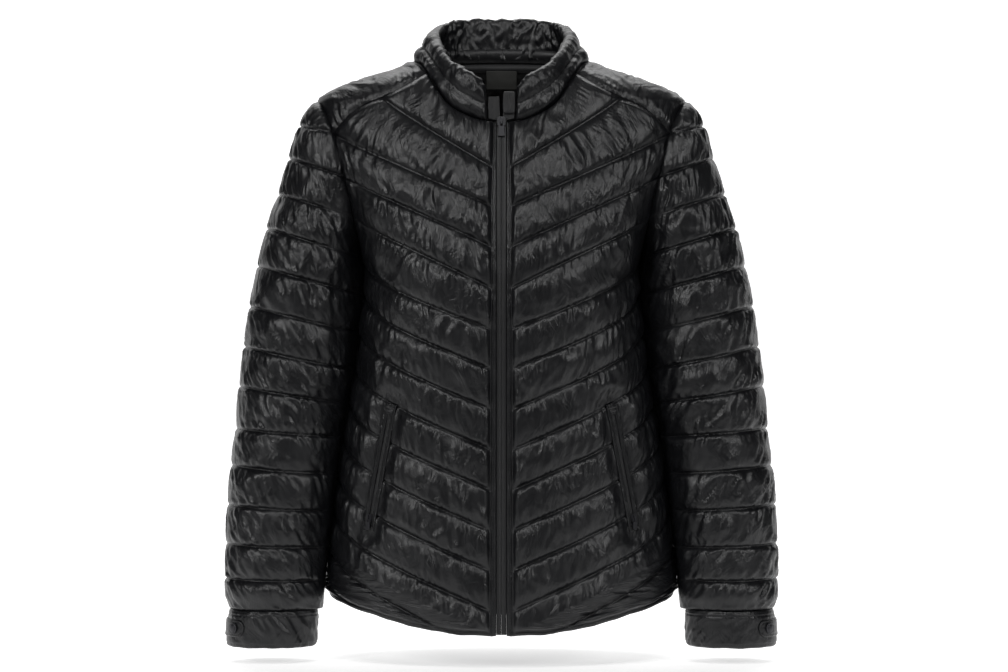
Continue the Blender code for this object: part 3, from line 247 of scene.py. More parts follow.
def crumple(u, v, seed, creases=None):
    """Creases of thin cloth at u, v in mm: for each row of creases a sharp ridge, 0.55 - 2|n|, where noise n
    stretched along the row's direction passes zero. Slower noise bends the lines and drifts their height."""
    bend = 5 * noise(u / 37, v / 37, seed + 50) + 1.5 * noise(u / 13, v / 13, seed + 51)
    total = np.zeros(np.broadcast(u, v).shape)
    for k, (turn, long, short, height) in enumerate(creases or CREASES):
        cos, sin = math.cos(math.radians(turn)), math.sin(math.radians(turn))
        along, across = u * cos + v * sin, v * cos - u * sin + bend * short / 13
        drift = 0.12 + 1.5 * ease(0.42 + 1.7 * noise(u / 41, v / 41, seed + 60 + k))
        total += height * drift * (0.55 - 2 * np.abs(noise(along / long, across / short, seed + k)))
    return total


def gathers(u, v, far, slant, seed):
    """Folds drawn up by the stitches: ridges 1 - 2.6|n| of noise along u + slant v, in patches. The longer
    ones fade over 17 mm from a stitch line, and finer ones over 6 mm; far is the distance from the line."""
    bend = 3.5 * noise(u / 23, v / 26, seed + 7)
    along = u + slant * v + bend
    patch = 0.12 + 1.15 * ease(0.42 + 1.9 * noise(u / 31, v / 24, seed + 3))
    long = 1 - 2.6 * np.abs(noise(along / 7.5, v / 36, seed))
    fine = 1 - 2.6 * np.abs(noise(along / 3.9, v / 19, seed + 1))
    rise = (1 - np.exp(-far / 1.5)) * np.exp(-(far / 17) ** 1.5)
    tiny = (1 - np.exp(-far / 0.8)) * np.exp(-far / 6)
    return patch * (long * rise + 0.4 * fine * tiny)


def stitch_groove(far):
    """Narrow dip where the thread pulls the cloth down."""
    return np.exp(-(far / 1.2) ** 2)


def crest(place):
    """Bulge of a channel across its width, 1 - |2 place - 1|^2.3."""
    return 1 - np.abs(2 * place - 1) ** 2.3


def pillow(distance, reach=15.0):
    """Rounding towards the end of a channel: 0 at the seam and 1 from `reach` mm on."""
    return 1 - (1 - np.clip(distance / reach, 0, 1)) ** 2.2


# ---- the torso's surface ----

def ring(z, side):
    """Half width and depth of the torso's ring; side is -1 in front and 1 behind."""
    rows = BODY[::-1]
    return smooth(z, rows[:, 0], rows[:, 1]), smooth(z, rows[:, 0], rows[:, 3 if side > 0 else 2])


def quarter(z, side):
    """Angles of quarter rings and the share of their length reached at each."""
    wide, deep = ring(z, side)
    turn = np.linspace(0, math.pi / 2, 193)
    x = wide[..., None] * np.sin(turn) ** (2 / ROUND)
    y = deep[..., None] * np.cos(turn) ** (2 / ROUND)
    run = np.cumsum(np.hypot(np.diff(x, axis=-1), np.diff(y, axis=-1)), axis=-1)
    run = np.concatenate([np.zeros(run.shape[:-1] + (1,)), run], axis=-1)
    return turn, run / run[..., -1:]


HEIGHTS = np.linspace(BODY[-1, 0], BODY[0, 0], 445)
SHARES = np.linspace(0, 1, 161)


def angle_table(side):
    """Angle of the torso's ring at each of HEIGHTS and SHARES: the ring's run turned round."""
    turn, run = quarter(HEIGHTS, side)
    return np.array([np.interp(SHARES, row, turn) for row in run])


ANGLES = {-1: angle_table(-1), 1: angle_table(1)}


def angle_of(share, z, side):
    """Angle at a share of the ring, straight between the table's heights and shares."""
    row = np.clip((z - HEIGHTS[0]) / (HEIGHTS[1] - HEIGHTS[0]), 0, len(HEIGHTS) - 1.000001)
    column = np.clip(share * (len(SHARES) - 1), 0, len(SHARES) - 1.000001)
    i, j = row.astype(int), column.astype(int)
    a, b = row - i, column - j
    table = ANGLES[side]
    return ((table[i, j] * (1 - b) + table[i, j + 1] * b) * (1 - a)
            + (table[i + 1, j] * (1 - b) + table[i + 1, j + 1] * b) * a)


def torso(share, z, side):
    """Torso surface for x over 0, a superellipse ring: share is 0 at the centre line and 1 at the side."""
    share, z = np.broadcast_arrays(np.asarray(share, float), np.asarray(z, float))
    angle = angle_of(share, z, side)
    wide, deep = ring(z, side)
    x, y = wide * np.sin(angle) ** (2 / ROUND), deep * np.cos(angle) ** (2 / ROUND)
    return np.stack([x, side * y, z], -1)


def torso_normal(share, z, side):
    """Outward direction: the cross product of the surface's slopes along share and height."""
    share = np.asarray(share, float)
    low, high = np.maximum(share - 0.01, 0), np.minimum(share + 0.01, 1)
    along = torso(high, z, side) - torso(low, z, side)
    up = torso(share, np.asarray(z) + 0.5, side) - torso(share, np.asarray(z) - 0.5, side)
    normal = unit(np.cross(along, up) * -side)
    normal[..., 0] = np.where(share <= 0, 0, normal[..., 0])
    return unit(normal)


def share_at(x, z, side):
    """Share round the ring of the point with this x."""
    x, z = np.broadcast_arrays(np.asarray(x, float), np.asarray(z, float))
    wide, _ = ring(z, side)
    angle = np.arcsin(np.clip(x / wide, 0, 1) ** (ROUND / 2))
    turn, run = quarter(z.reshape(-1), side)
    place = np.clip(angle.reshape(-1) / (turn[1] - turn[0]), 0, len(turn) - 1.000001)
    i = place.astype(int)
    part = place - i
    rows = np.arange(len(i))
    return (run[rows, i] * (1 - part) + run[rows, i + 1] * part).reshape(x.shape)


def arm_seam(row, side):
    """Height and depth of the armhole at a fractional row of ARMHOLE."""
    z, front, back = np.moveaxis(table_at(row, ARMHOLE), -1, 0)
    return z, back if side > 0 else front


def arm_share(row, side):
    """Share round the torso's ring of the armhole at a fractional row of ARMHOLE."""
    z, depth = arm_seam(row, side)
    wide, deep = ring(z, side)
    angle = np.arccos(np.clip(depth / deep, 0, 1) ** (ROUND / 2))
    return share_at(wide * np.sin(angle) ** (2 / ROUND), z, side)


def arm_lean(row, side):
    """Direction across the wall at the armhole: half way between the body's and the sleeve's own."""
    z, depth = arm_seam(row, side)
    top, bottom = ARMHOLE[0, 0], ARMHOLE[-1, 0]
    up = (z - (top + bottom) / 2) / ((top - bottom) / 2)
    return unit(np.stack([0.8 * np.maximum(up, 0), side * depth / 54, up], -1))


def path(points, at):
    """Point at the share `at` along a seam given by x and height."""
    points = np.asarray(points, float)
    run = np.concatenate([[0], np.cumsum(np.hypot(*np.diff(points, axis=0).T))])
    return np.stack([smooth(at, run / run[-1], points[:, k]) for k in (0, 1)], -1)


def seam_points(points, at, side):
    """Share and height, the torso's two coordinates, along a seam."""
    xz = path(points, at)
    return np.stack([share_at(xz[..., 0], xz[..., 1], side), xz[..., 1]], -1)


def yoke_seam(side):
    """The yoke seam's points, from the neck to its corner on the armhole."""
    corner = torso(arm_share(float(ARM_CORNER), side), ARMHOLE[ARM_CORNER, 0], side)
    return (YOKE_BACK if side > 0 else YOKE_FRONT) + [(float(corner[0]), float(corner[2]))]


def armpit():
    """The low part of the armhole, where body and sleeve face each other across a fold."""
    rows = np.arange(ARM_LOW, len(ARMHOLE)).astype(float)
    return np.concatenate([torso(arm_share(rows, s), ARMHOLE[ARM_LOW:, 0], s) for s in (-1, 1)])


def fold_ease(points):
    """0 in the armpit's fold, 1 a hand's breadth from it: the channels flatten there."""
    flat = points.reshape(-1, 1, 3)
    far = np.linalg.norm(flat - armpit()[None], axis=-1).min(axis=-1)
    return ease(far / 52).reshape(points.shape[:-1])


def pocket_far(points):
    """Distance in front view from the pocket's opening."""
    (x0, z0), (x1, z1) = POCKET
    start, run = np.array([x0, z0]), np.array([x1 - x0, z1 - z0])
    flat = points[..., [0, 2]] - start
    share = np.clip((flat @ run) / (run @ run), 0, 1)
    return np.linalg.norm(flat - share[..., None] * run, axis=-1)


# ---- meshes ----

def run_along(grid, axis):
    """Length run from the first row or column, in mm."""
    step = np.linalg.norm(np.diff(grid, axis=axis), axis=-1)
    zero = np.zeros_like(np.take(step, [0], axis=axis))
    return np.concatenate([zero, np.cumsum(step, axis=axis)], axis=axis)


def tidy_faces(quads):
    """Splits quads into true quads, and triangles where two neighbouring corners are one."""
    rest, triangles = quads, []
    for k in range(4):
        double = rest[:, k] == rest[:, (k + 1) % 4]
        keep = [i for i in range(4) if i != k]
        triangles.append(rest[double][:, keep])
        rest = rest[~double]
    rest = rest[(rest[:, 0] != rest[:, 2]) & (rest[:, 1] != rest[:, 3])]
    triangles = np.concatenate(triangles)
    good = ((triangles[:, 0] != triangles[:, 1]) & (triangles[:, 1] != triangles[:, 2])
            & (triangles[:, 0] != triangles[:, 2]))
    return rest, triangles[good]


def volume(points, quads, triangles):
    """Signed volume of a closed surface: the sum of its faces' tetrahedra to the origin."""
    total = 0.0
    for faces in (quads[:, [0, 1, 2]], quads[:, [0, 2, 3]], triangles):
        a, b, c = (points[faces[:, k]] for k in range(3))
        total += float(np.einsum("ij,ij->i", a, np.cross(b, c)).sum())
    return total


def put_mesh(name, points, faces, uv, materials, slots=None):
    """Object from points in mm and closed quads; turns them to face outwards, and keeps uv in metres."""
    quads, triangles = tidy_faces(faces)
    if volume(points, quads, triangles) < 0:
        quads, triangles = quads[:, ::-1], triangles[:, ::-1]
    mesh = bpy.data.meshes.new(name)
    sizes = np.concatenate([np.full(len(quads), 4), np.full(len(triangles), 3)])
    corners = np.concatenate([quads.reshape(-1), triangles.reshape(-1)]).astype(np.int32)
    mesh.vertices.add(len(points))
    mesh.vertices.foreach_set("co", (points * MM).astype(np.float32).reshape(-1))
    mesh.loops.add(len(corners))
    mesh.loops.foreach_set("vertex_index", corners)
    mesh.polygons.add(len(sizes))
    starts = np.concatenate([[0], np.cumsum(sizes)[:-1]]).astype(np.int32)
    mesh.polygons.foreach_set("loop_start", starts)
    mesh.polygons.foreach_set("use_smooth", np.ones(len(sizes), bool))
    for material in materials:
        mesh.materials.append(material)
    if slots is not None:
        mesh.polygons.foreach_set("material_index", slots[corners[starts]].astype(np.int32))
    layer = mesh.uv_layers.new(name="surface")
    layer.data.foreach_set("uv", (uv[corners] * MM).astype(np.float32).reshape(-1))
    mesh.update(calc_edges=True)
    mesh.validate()
    made = bpy.data.objects.new(name, mesh)
    bpy.context.scene.collection.objects.link(made)
    return made


def dress(made, body, node):
    """The piece rides on a body and stands for a node, whose own part it hides."""
    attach(made, body)
    if node:
        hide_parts(node)
    return made


def grid_faces(ids):
    """Quads of a grid of point numbers."""
    return np.stack([ids[:-1, :-1], ids[1:, :-1], ids[1:, 1:], ids[:-1, 1:]], -1).reshape(-1, 4)


def wall(outer, inner, kept, ring_from=None, open_left=0, first=0, shared=None):
    """Points and quads of a closed wall. The inner grid has only the rows in kept.

    From row ring_from down, the last column is the first. Down to row open_left, the left edge has no rim, as
    a mirrored half meets it there. A first or last row whose points are all one is a tip. Point numbers start
    at `first`; where `shared` gives another wall's numbers, the left edge down to open_left takes those.
    """
    rows, columns = outer.shape[:2]
    out_ids = first + np.arange(rows * columns).reshape(rows, columns)
    in_ids = first + rows * columns + np.arange(len(kept) * columns).reshape(len(kept), columns)
    for ids, numbers in ((out_ids, np.arange(rows)), (in_ids, kept)):
        if ring_from is not None:
            closed = numbers >= ring_from
            ids[closed, -1] = ids[closed, 0]
        for k in (0, len(numbers) - 1):
            if np.ptp(outer[numbers[k]], axis=0).max() < 1e-6:
                ids[k, :] = ids[k, 0]
    if shared is not None:
        out_ids[:open_left + 1, 0] = shared[0][:open_left + 1, 0]
        count = int((kept <= open_left).sum())
        in_ids[:count, 0] = shared[1][:count, 0]
    near = np.abs(kept[None] - np.arange(rows)[:, None]).argmin(axis=1)
    last = rows - 1 if ring_from is None else ring_from
    above, below = np.arange(0, last), np.arange(1, last + 1)
    left_rim = np.stack([out_ids[below, 0], out_ids[above, 0], in_ids[near[above], 0],
                         in_ids[near[below], 0]], -1)[open_left:]
    right_rim = np.stack([out_ids[above, -1], out_ids[below, -1], in_ids[near[below], -1],
                          in_ids[near[above], -1]], -1)
    top_rim = np.stack([out_ids[0, :-1], out_ids[0, 1:], in_ids[0, 1:], in_ids[0, :-1]], -1)
    low_rim = np.stack([out_ids[-1, 1:], out_ids[-1, :-1], in_ids[-1, :-1], in_ids[-1, 1:]], -1)
    faces = [grid_faces(out_ids), grid_faces(in_ids)[:, ::-1], left_rim, right_rim, top_rim, low_rim]
    points = np.concatenate([outer.reshape(-1, 3), inner[kept].reshape(-1, 3)])
    is_inner = np.concatenate([np.zeros(rows * columns, int), np.ones(len(kept) * columns, int)])
    return points, np.concatenate(faces), is_inner, (out_ids, in_ids)


def kept_rows(count, step):
    """One row in `step`, and the last one."""
    return np.unique(np.append(np.arange(0, count, step), count - 1))


def flipped(points, sign):
    """The points of the wearer's left side, or their mirror image where sign is -1."""
    return points * np.array([sign, 1, 1])


def flipped_lines(lines, sign):
    """The same for lines of points with their normals."""
    return [(flipped(points, sign), flipped(normals, sign)) for points, normals in lines]


def put_wall(name, node, finishes, grids, uv, kept, sign=1, ring_from=None):
    """Piece from its outer and inner grid, with one finish, or with one outside and one inside."""
    points, faces, is_inner, _ = wall(*grids, kept, ring_from=ring_from)
    both = np.concatenate([uv.reshape(-1, 2), uv[kept].reshape(-1, 2)])
    made = put_mesh(name, flipped(points, sign), faces, both, [material(kind) for kind in finishes],
                    is_inner if len(finishes) > 1 else None)
    return dress(made, "jacket", node)


def tube(rings):
    """Points and quads of closed rings carried along a path; each end ring draws in to its middle."""
    count, size = rings.shape[:2]
    tips = np.stack([rings[0].mean(axis=0), rings[-1].mean(axis=0)])
    points = np.concatenate([rings.reshape(-1, 3), tips])
    ids = np.arange(count * size).reshape(count, size)
    ids = np.concatenate([ids, ids[:, :1]], axis=1)
    start, end = np.full(size, count * size), np.full(size, count * size + 1)
    first = np.stack([start, start, ids[0, :-1], ids[0, 1:]], -1)
    final = np.stack([end, end, ids[-1, 1:], ids[-1, :-1]], -1)
    return points, np.concatenate([grid_faces(ids), first, final])


def stitches(line, normal, length, thick):
    """Thread along a line of points: every `length` mm one spindle of six points, sunk at both tips."""
    run = run_along(line, 0)
    count = max(int(run[-1] / length), 1)
    at = (np.arange(count) + 0.5) * run[-1] / count

    def sample(values, where):
        return np.stack([np.interp(where, run, values[:, k]) for k in range(3)], -1)

    half = 0.5 * THREAD_FILL * run[-1] / count
    start, end, middle = sample(line, at - half), sample(line, at + half), sample(line, at)
    out = unit(sample(normal, at))
    side = unit(np.cross(end - start, out)) * thick
    belly, sunk, out = middle + out * THREAD_LIFT, out * thick * 0.4, out * thick
    points = np.stack([start - sunk, end - sunk, belly + out, belly - out, belly + side, belly - side], 1)
    order = np.array([(0, 2, 4, 4), (0, 4, 3, 3), (0, 3, 5, 5), (0, 5, 2, 2),
                      (1, 4, 2, 2), (1, 3, 4, 4), (1, 5, 3, 3), (1, 2, 5, 5)])
    faces = (order[None] + 6 * np.arange(count)[:, None, None]).reshape(-1, 4)
    return points.reshape(-1, 3), faces


def put_stitches(name, lines, sizes):
    """One object of the stitches along many lines, each given by its points and normals."""
    points, faces, total = [], [], 0
    for line, normal in lines:
        more, quads = stitches(line, normal, sizes.stitch, sizes.thread)
        points.append(more)
        faces.append(quads + total)
        total += len(more)
    points = np.concatenate(points)
    made = put_mesh(name, points, np.concatenate(faces), points[:, [0, 2]], [material("thread")])
    return dress(made, "jacket", None)


# ---- materials ----

def node_group(name, inputs, outputs):
    """Empty shader group with float inputs, given with their defaults, and named outputs."""
    group = bpy.data.node_groups.new(name, "ShaderNodeTree")
    group.interface.new_socket("Vector", in_out="INPUT", socket_type="NodeSocketVector")
    for label, value in inputs:
        socket = group.interface.new_socket(label, in_out="INPUT", socket_type="NodeSocketFloat")
        socket.default_value = value
    for label in outputs:
        group.interface.new_socket(label, in_out="OUTPUT", socket_type="NodeSocketFloat")
    return group, group.nodes.new("NodeGroupInput"), group.nodes.new("NodeGroupOutput")


def math_node(tree, operation, first, second=None, third=None):
    """Output of a math node; each value is a number or a socket."""
    node = tree.nodes.new("ShaderNodeMath")
    node.operation = operation
    for k, value in enumerate((first, second, third)):
        if isinstance(value, (int, float)):
            node.inputs[k].default_value = value
        elif value is not None:
            tree.links.new(value, node.inputs[k])
    return node.outputs[0]


def noise_node(tree, vector, scale, detail=2.0, rough=0.5, distort=0.0):
    """Noise from 0 to 1, its scale in cells a metre."""
    node = tree.nodes.new("ShaderNodeTexNoise")
    for name, value in (("Scale", scale), ("Detail", detail), ("Roughness", rough), ("Distortion", distort)):
        node.inputs[name].default_value = value
    tree.links.new(vector, node.inputs["Vector"])
    return node.outputs["Fac"]


def mapped(tree, vector, setting, value):
    """Coordinates moved, turned or scaled."""
    node = tree.nodes.new("ShaderNodeMapping")
    node.inputs[setting].default_value = value
    tree.links.new(vector, node.inputs["Vector"])
    return node.outputs[0]


def ramp(tree, value, start, end, low=0.0, high=1.0):
    """Straight ramp of a value, from low at `start` to high at `end`."""
    node = tree.nodes.new("ShaderNodeMapRange")
    for name, number in (("From Min", start), ("From Max", end), ("To Min", low), ("To Max", high)):
        node.inputs[name].default_value = number
    tree.links.new(value, node.inputs["Value"])
    return node.outputs[0]


def ridge(group, vector, turn, long, short, distort):
    """Sharp crests, 1 - |2n - 1|, of noise stretched along a direction of the surface: turn in degrees,
    length and spacing in metres."""
    turned = mapped(group, vector, "Rotation", (0, 0, math.radians(turn)))
    scaled = mapped(group, turned, "Scale", (1 / long, 1 / short, 1))
    value = noise_node(group, scaled, 1.0, 1.0, 0.45, distort)
    fold = math_node(group, "ABSOLUTE", math_node(group, "MULTIPLY_ADD", value, 2.0, -1.0))
    return math_node(group, "SUBTRACT", 1.0, fold)


def crinkle_group():
    """Creases of light nylon: ridges in the directions of FINE_FOLDS, each in patches of its own where slow
    noise is high, over smaller crinkles; and a slow drift for colour and roughness."""
    group, given, put = node_group("crinkle", [("Fine", 0.15)], ["Height", "Drift"])
    vector, fine = given.outputs["Vector"], given.outputs["Fine"]
    total = None
    for k, (turn, long, short, height) in enumerate(FINE_FOLDS):
        shifted = mapped(group, vector, "Location", (0.37 * k, 0.71 * k, 0))
        patch = math_node(group, "MULTIPLY_ADD", noise_node(group, shifted, 34.0, 1.0), 4.0, -1.6)
        patch.node.use_clamp = True
        part = math_node(group, "MULTIPLY", ridge(group, shifted, turn, long, short, 0.25), patch)
        part = math_node(group, "MULTIPLY", part, height)
        total = part if total is None else math_node(group, "ADD", total, part)
    small = ridge(group, vector, 80, 0.006, 0.0028, 1.2)
    group.links.new(math_node(group, "MULTIPLY_ADD", small, fine, total), put.inputs["Height"])
    group.links.new(noise_node(group, vector, 38.0, 2.0), put.inputs["Drift"])
    return group


def weave_group():
    """Plain weave: the product of two waves at right angles across the surface, so many threads a metre."""
    group, given, put = node_group("weave", [("Threads", SHELL_THREADS)], ["Height"])
    parts = []
    for axis in "XY":
        split = group.nodes.new("ShaderNodeSeparateXYZ")
        group.links.new(given.outputs["Vector"], split.inputs[0])
        turn = math_node(group, "MULTIPLY", split.outputs[axis], given.outputs["Threads"])
        parts.append(math_node(group, "SINE", math_node(group, "MULTIPLY", turn, math.tau)))
    group.links.new(math_node(group, "MULTIPLY", *parts), put.inputs["Height"])
    return group


def effect(tree, name, vector, **inputs):
    """Outputs of a shared group in a material; the group is made on its first use."""
    node = tree.nodes.new("ShaderNodeGroup")
    make = {"crinkle": crinkle_group, "weave": weave_group}[name]
    node.node_tree = bpy.data.node_groups.get(name) or make()
    tree.links.new(vector, node.inputs["Vector"])
    for label, value in inputs.items():
        node.inputs[label].default_value = value
    return node.outputs


def blank_material(name):
    """New material with its node tree and its shader."""
    material = bpy.data.materials.new(name)
    material.use_nodes = True
    tree = material.node_tree
    return material, tree, tree.nodes["Principled BSDF"]


def surface_uv(tree):
    """The piece's own coordinates, run over the cloth in metres."""
    node = tree.nodes.new("ShaderNodeUVMap")
    node.uv_map = "surface"
    return node.outputs[0]


def object_coordinates(tree):
    """Coordinates of the object, in metres."""
    return tree.nodes.new("ShaderNodeTexCoord").outputs["Object"]


def drift_finish(tree, shader, drift, colours, rough, spread):
    """Base colour that drifts between two, and a roughness that drifts by `spread` round its middle."""
    mix = tree.nodes.new("ShaderNodeMix")
    mix.data_type = "RGBA"
    tree.links.new(drift, mix.inputs["Factor"])
    for side, colour in zip("AB", colours):
        mix.inputs[side].default_value = (*colour, 1)
    tree.links.new(mix.outputs["Result"], shader.inputs["Base Color"])
    wander = math_node(tree, "MULTIPLY_ADD", drift, spread, rough - spread / 2)
    tree.links.new(wander, shader.inputs["Roughness"])


def bump(tree, shader, height, distance, before=None):
    """Relief `distance` metres high, laid over the normal `before` of a larger one."""
    node = tree.nodes.new("ShaderNodeBump")
    node.inputs["Distance"].default_value = distance
    node.inputs["Strength"].default_value = 1.0
    tree.links.new(height, node.inputs["Height"])
    if before is not None:
        tree.links.new(before, node.inputs["Normal"])
    tree.links.new(node.outputs[0], shader.inputs["Normal"])
    return node.outputs[0]


def shell_material(name, colour, rough, crease):
    """Nylon cloth: crinkles that follow the surface over a tight weave; roughness and colour drift."""
    material, tree, shader = blank_material(name)
    uv = surface_uv(tree)
    fold = effect(tree, "crinkle", uv)
    cloth = effect(tree, "weave", uv, Threads=SHELL_THREADS)
    low, high = [c * 0.72 for c in colour], [min(c * 1.35, 1) for c in colour]
    drift_finish(tree, shader, fold["Drift"], (low, high), rough, 0.16)
    bump(tree, shader, cloth["Height"], WEAVE_BUMP, bump(tree, shader, fold["Height"], crease))
    shader.inputs["Specular IOR Level"].default_value = 0.5
    return material


def tape_material(name, colour, rough, threads, depth):
    """Woven tape: a coarse weave on the surface with a slow drift of colour."""
    material, tree, shader = blank_material(name)
    uv = surface_uv(tree)
    cloth = effect(tree, "weave", uv, Threads=threads)
    colours = [c * 0.7 for c in colour], [c * 1.5 for c in colour]
    drift_finish(tree, shader, noise_node(tree, uv, 160.0, 3.0), colours, rough, 0.2)
    bump(tree, shader, cloth["Height"], depth)
    return material


def metal_material(name, colour, rough):
    """Blackened metal: fine brushing and a little wear in the roughness."""
    material, tree, shader = blank_material(name)
    place = object_coordinates(tree)
    grain = noise_node(tree, mapped(tree, place, "Scale", (1.0, 1.0, 0.06)), 3800.0, 2.0)
    colours = [c * 0.8 for c in colour], [c * 1.5 for c in colour]
    drift_finish(tree, shader, noise_node(tree, place, 420.0, 3.0), colours, rough, 0.3)
    shader.inputs["Metallic"].default_value = 0.9
    bump(tree, shader, grain, GRAIN_BUMP)
    return material


def material(kind):
    """The jacket's finishes, each made once."""
    found = bpy.data.materials.get(kind)
    if found:
        return found
    look = bpy.context.scene.jacket_colours
    if kind == "shell_nylon":
        return shell_material(kind, look.shell, look.shell_rough, SHELL_BUMP)
    if kind == "lining_nylon":
        return shell_material(kind, look.lining, look.shell_rough + 0.08, LINING_BUMP)
    if kind in TAPES:
        colour, rough, threads, depth = TAPES[kind]
        return tape_material(kind, getattr(look, colour), rough, threads, depth)
    return metal_material(kind, look.metal, METAL_ROUGH)


# ---- body panels ----

def channel_places(fine):
    """Places across a channel, closer together at its stitch lines."""
    even = np.arange(fine) / fine
    return even - LINE_CROWD * np.sin(math.tau * even) / math.tau


def panel_rows(side, fine):
    """Rows of a front or half back: share and height at both ends, place in the channel and its number, and
    the row that meets the corner of edge and hem."""
    edge_x = CF_EDGE if side < 0 else 0
    yoke = yoke_seam(side)
    parts = []

    def centre(z):
        return np.stack([share_at(edge_x, z, side), z], -1)

    def arm_end(row):
        return np.stack([arm_share(row, side), arm_seam(row, side)[0]], -1)

    def side_end(z):
        return np.stack([np.ones_like(z), z], -1)

    def hem(x):
        z = hem_height(x)
        return np.stack([share_at(x, z, side), z], -1)

    def add(left, right, place, channel):
        parts.append((left, right, place, np.full(len(place), float(channel))))

    place = channel_places(fine)
    lines = [(float(NECK_FRONT[0][1] if side < 0 else NECK_BACK[0][1]), YOKE_END, 0.0)]
    if side > 0:
        lines.append((BACK_TOP_LINE, YOKE_END, 0.3))
    lines += LINES_ARM
    for k, ((z0, kind0, v0), (z1, kind1, v1)) in enumerate(zip(lines[:-1], lines[1:])):
        if kind0 == ARM_END:
            end = arm_end(v0 + np.interp(place, [0, 0.28, 0.72, 1], [0, 1, 2, 3]))
        else:
            end = seam_points(yoke, v0 + ((1 if kind1 == ARM_END else v1) - v0) * place, side)
        add(centre(z0 + (z1 - z0) * place), end, place, k)
    count = len(lines) - 1
    z0, z1 = LINES_ARM[-1][0], LINES_SIDE[0][0]
    end = arm_end(np.interp(place, [0, 0.28, 0.55, 0.8, 1], [9, 10, 11, 12, 13]))
    add(centre(z0 + (z1 - z0) * place), end, place, count)
    for k, ((z0, _, v0), (z1, _, v1)) in enumerate(zip(LINES_SIDE[:-1], LINES_SIDE[1:])):
        add(centre(z0 + (z1 - z0) * place), side_end(v0 + (v1 - v0) * place), place, count + 1 + k)
    count += len(LINES_SIDE)
    z_last, _, v_last = LINES_SIDE[-1]
    first = (z_last - HEM_CENTRE) / (z_last - HEM_CENTRE + 20)
    reach = HEM_LINE_SIDE[0] - v_last
    at = place[place < first]
    add(centre(z_last + (HEM_CENTRE - z_last) * at / first), side_end(v_last + reach * at), at, count)
    corner = sum(len(part[2]) for part in parts)
    at = np.concatenate([[first], place[place > first + 0.01]])
    add(hem(edge_x + (HEM_LINE_X[0] - edge_x) * (at - first) / (1 - first)), side_end(v_last + reach * at),
        at, count)
    add(hem(HEM_LINE_X[0] + (HEM_LINE_X[1] - HEM_LINE_X[0]) * place),
        side_end(HEM_LINE_SIDE[0] + (HEM_LINE_SIDE[1] - HEM_LINE_SIDE[0]) * place), place, count + 1)
    half = np.linspace(0, 1, fine // 2 + 1)
    left = hem(HEM_LINE_X[1] + (HEM[-1][0] - HEM_LINE_X[1]) * half)
    right = side_end(HEM_LINE_SIDE[1] + (HEM_SIDE - HEM_LINE_SIDE[1]) * half)
    left[-1] = right[-1]
    add(left, right, half / 2, count + 2)
    left, right, places, channels = (np.concatenate([part[k] for part in parts]) for k in range(4))
    return left, right, places, channels, corner


def hem_height(x):
    """Height of the hem at x in front view."""
    return smooth(np.abs(x), [p[0] for p in HEM], [p[1] for p in HEM])


def hem_wave(points):
    """Slow wave of the turned hem, fading out above it, added to the points' heights."""
    near = ease((hem_height(points[..., 0]) + 22 - points[..., 2]) / 22)
    back = np.where(points[..., 1] > 0, 40.0, 0.0)
    wave = 1.6 * noise(points[..., 0] / 19, back, 71) + 0.8 * noise(points[..., 0] / 7, back, 72)
    moved = points.copy()
    moved[..., 2] += near * wave
    return moved


def panel_grid(side, rows, columns, strip):
    """Share and height of a panel's points, straight from end to end, the first channel bent to the neck seam.
    In front, `strip` columns lie between the folded edge and the quilting."""
    left, right, place, channel, _ = rows
    across = np.linspace(0, 1, columns)
    if strip:
        stitch = (CF_STITCH - CF_EDGE) / FRONT_WIDE
        across = np.concatenate([np.linspace(0, stitch, strip + 1)[:-1],
                                 np.linspace(stitch, 1, columns - strip)])
    grid = left[:, None] + (right - left)[:, None] * across[None, :, None]
    reached = (grid[0, :, 0] - grid[0, 0, 0]) / (grid[0, -1, 0] - grid[0, 0, 0])
    bend = seam_points(NECK_BACK if side > 0 else NECK_FRONT, reached, side) - grid[0]
    top = channel == 0
    grid[top] += bend[None] * (1 - place[top])[:, None, None]
    return grid


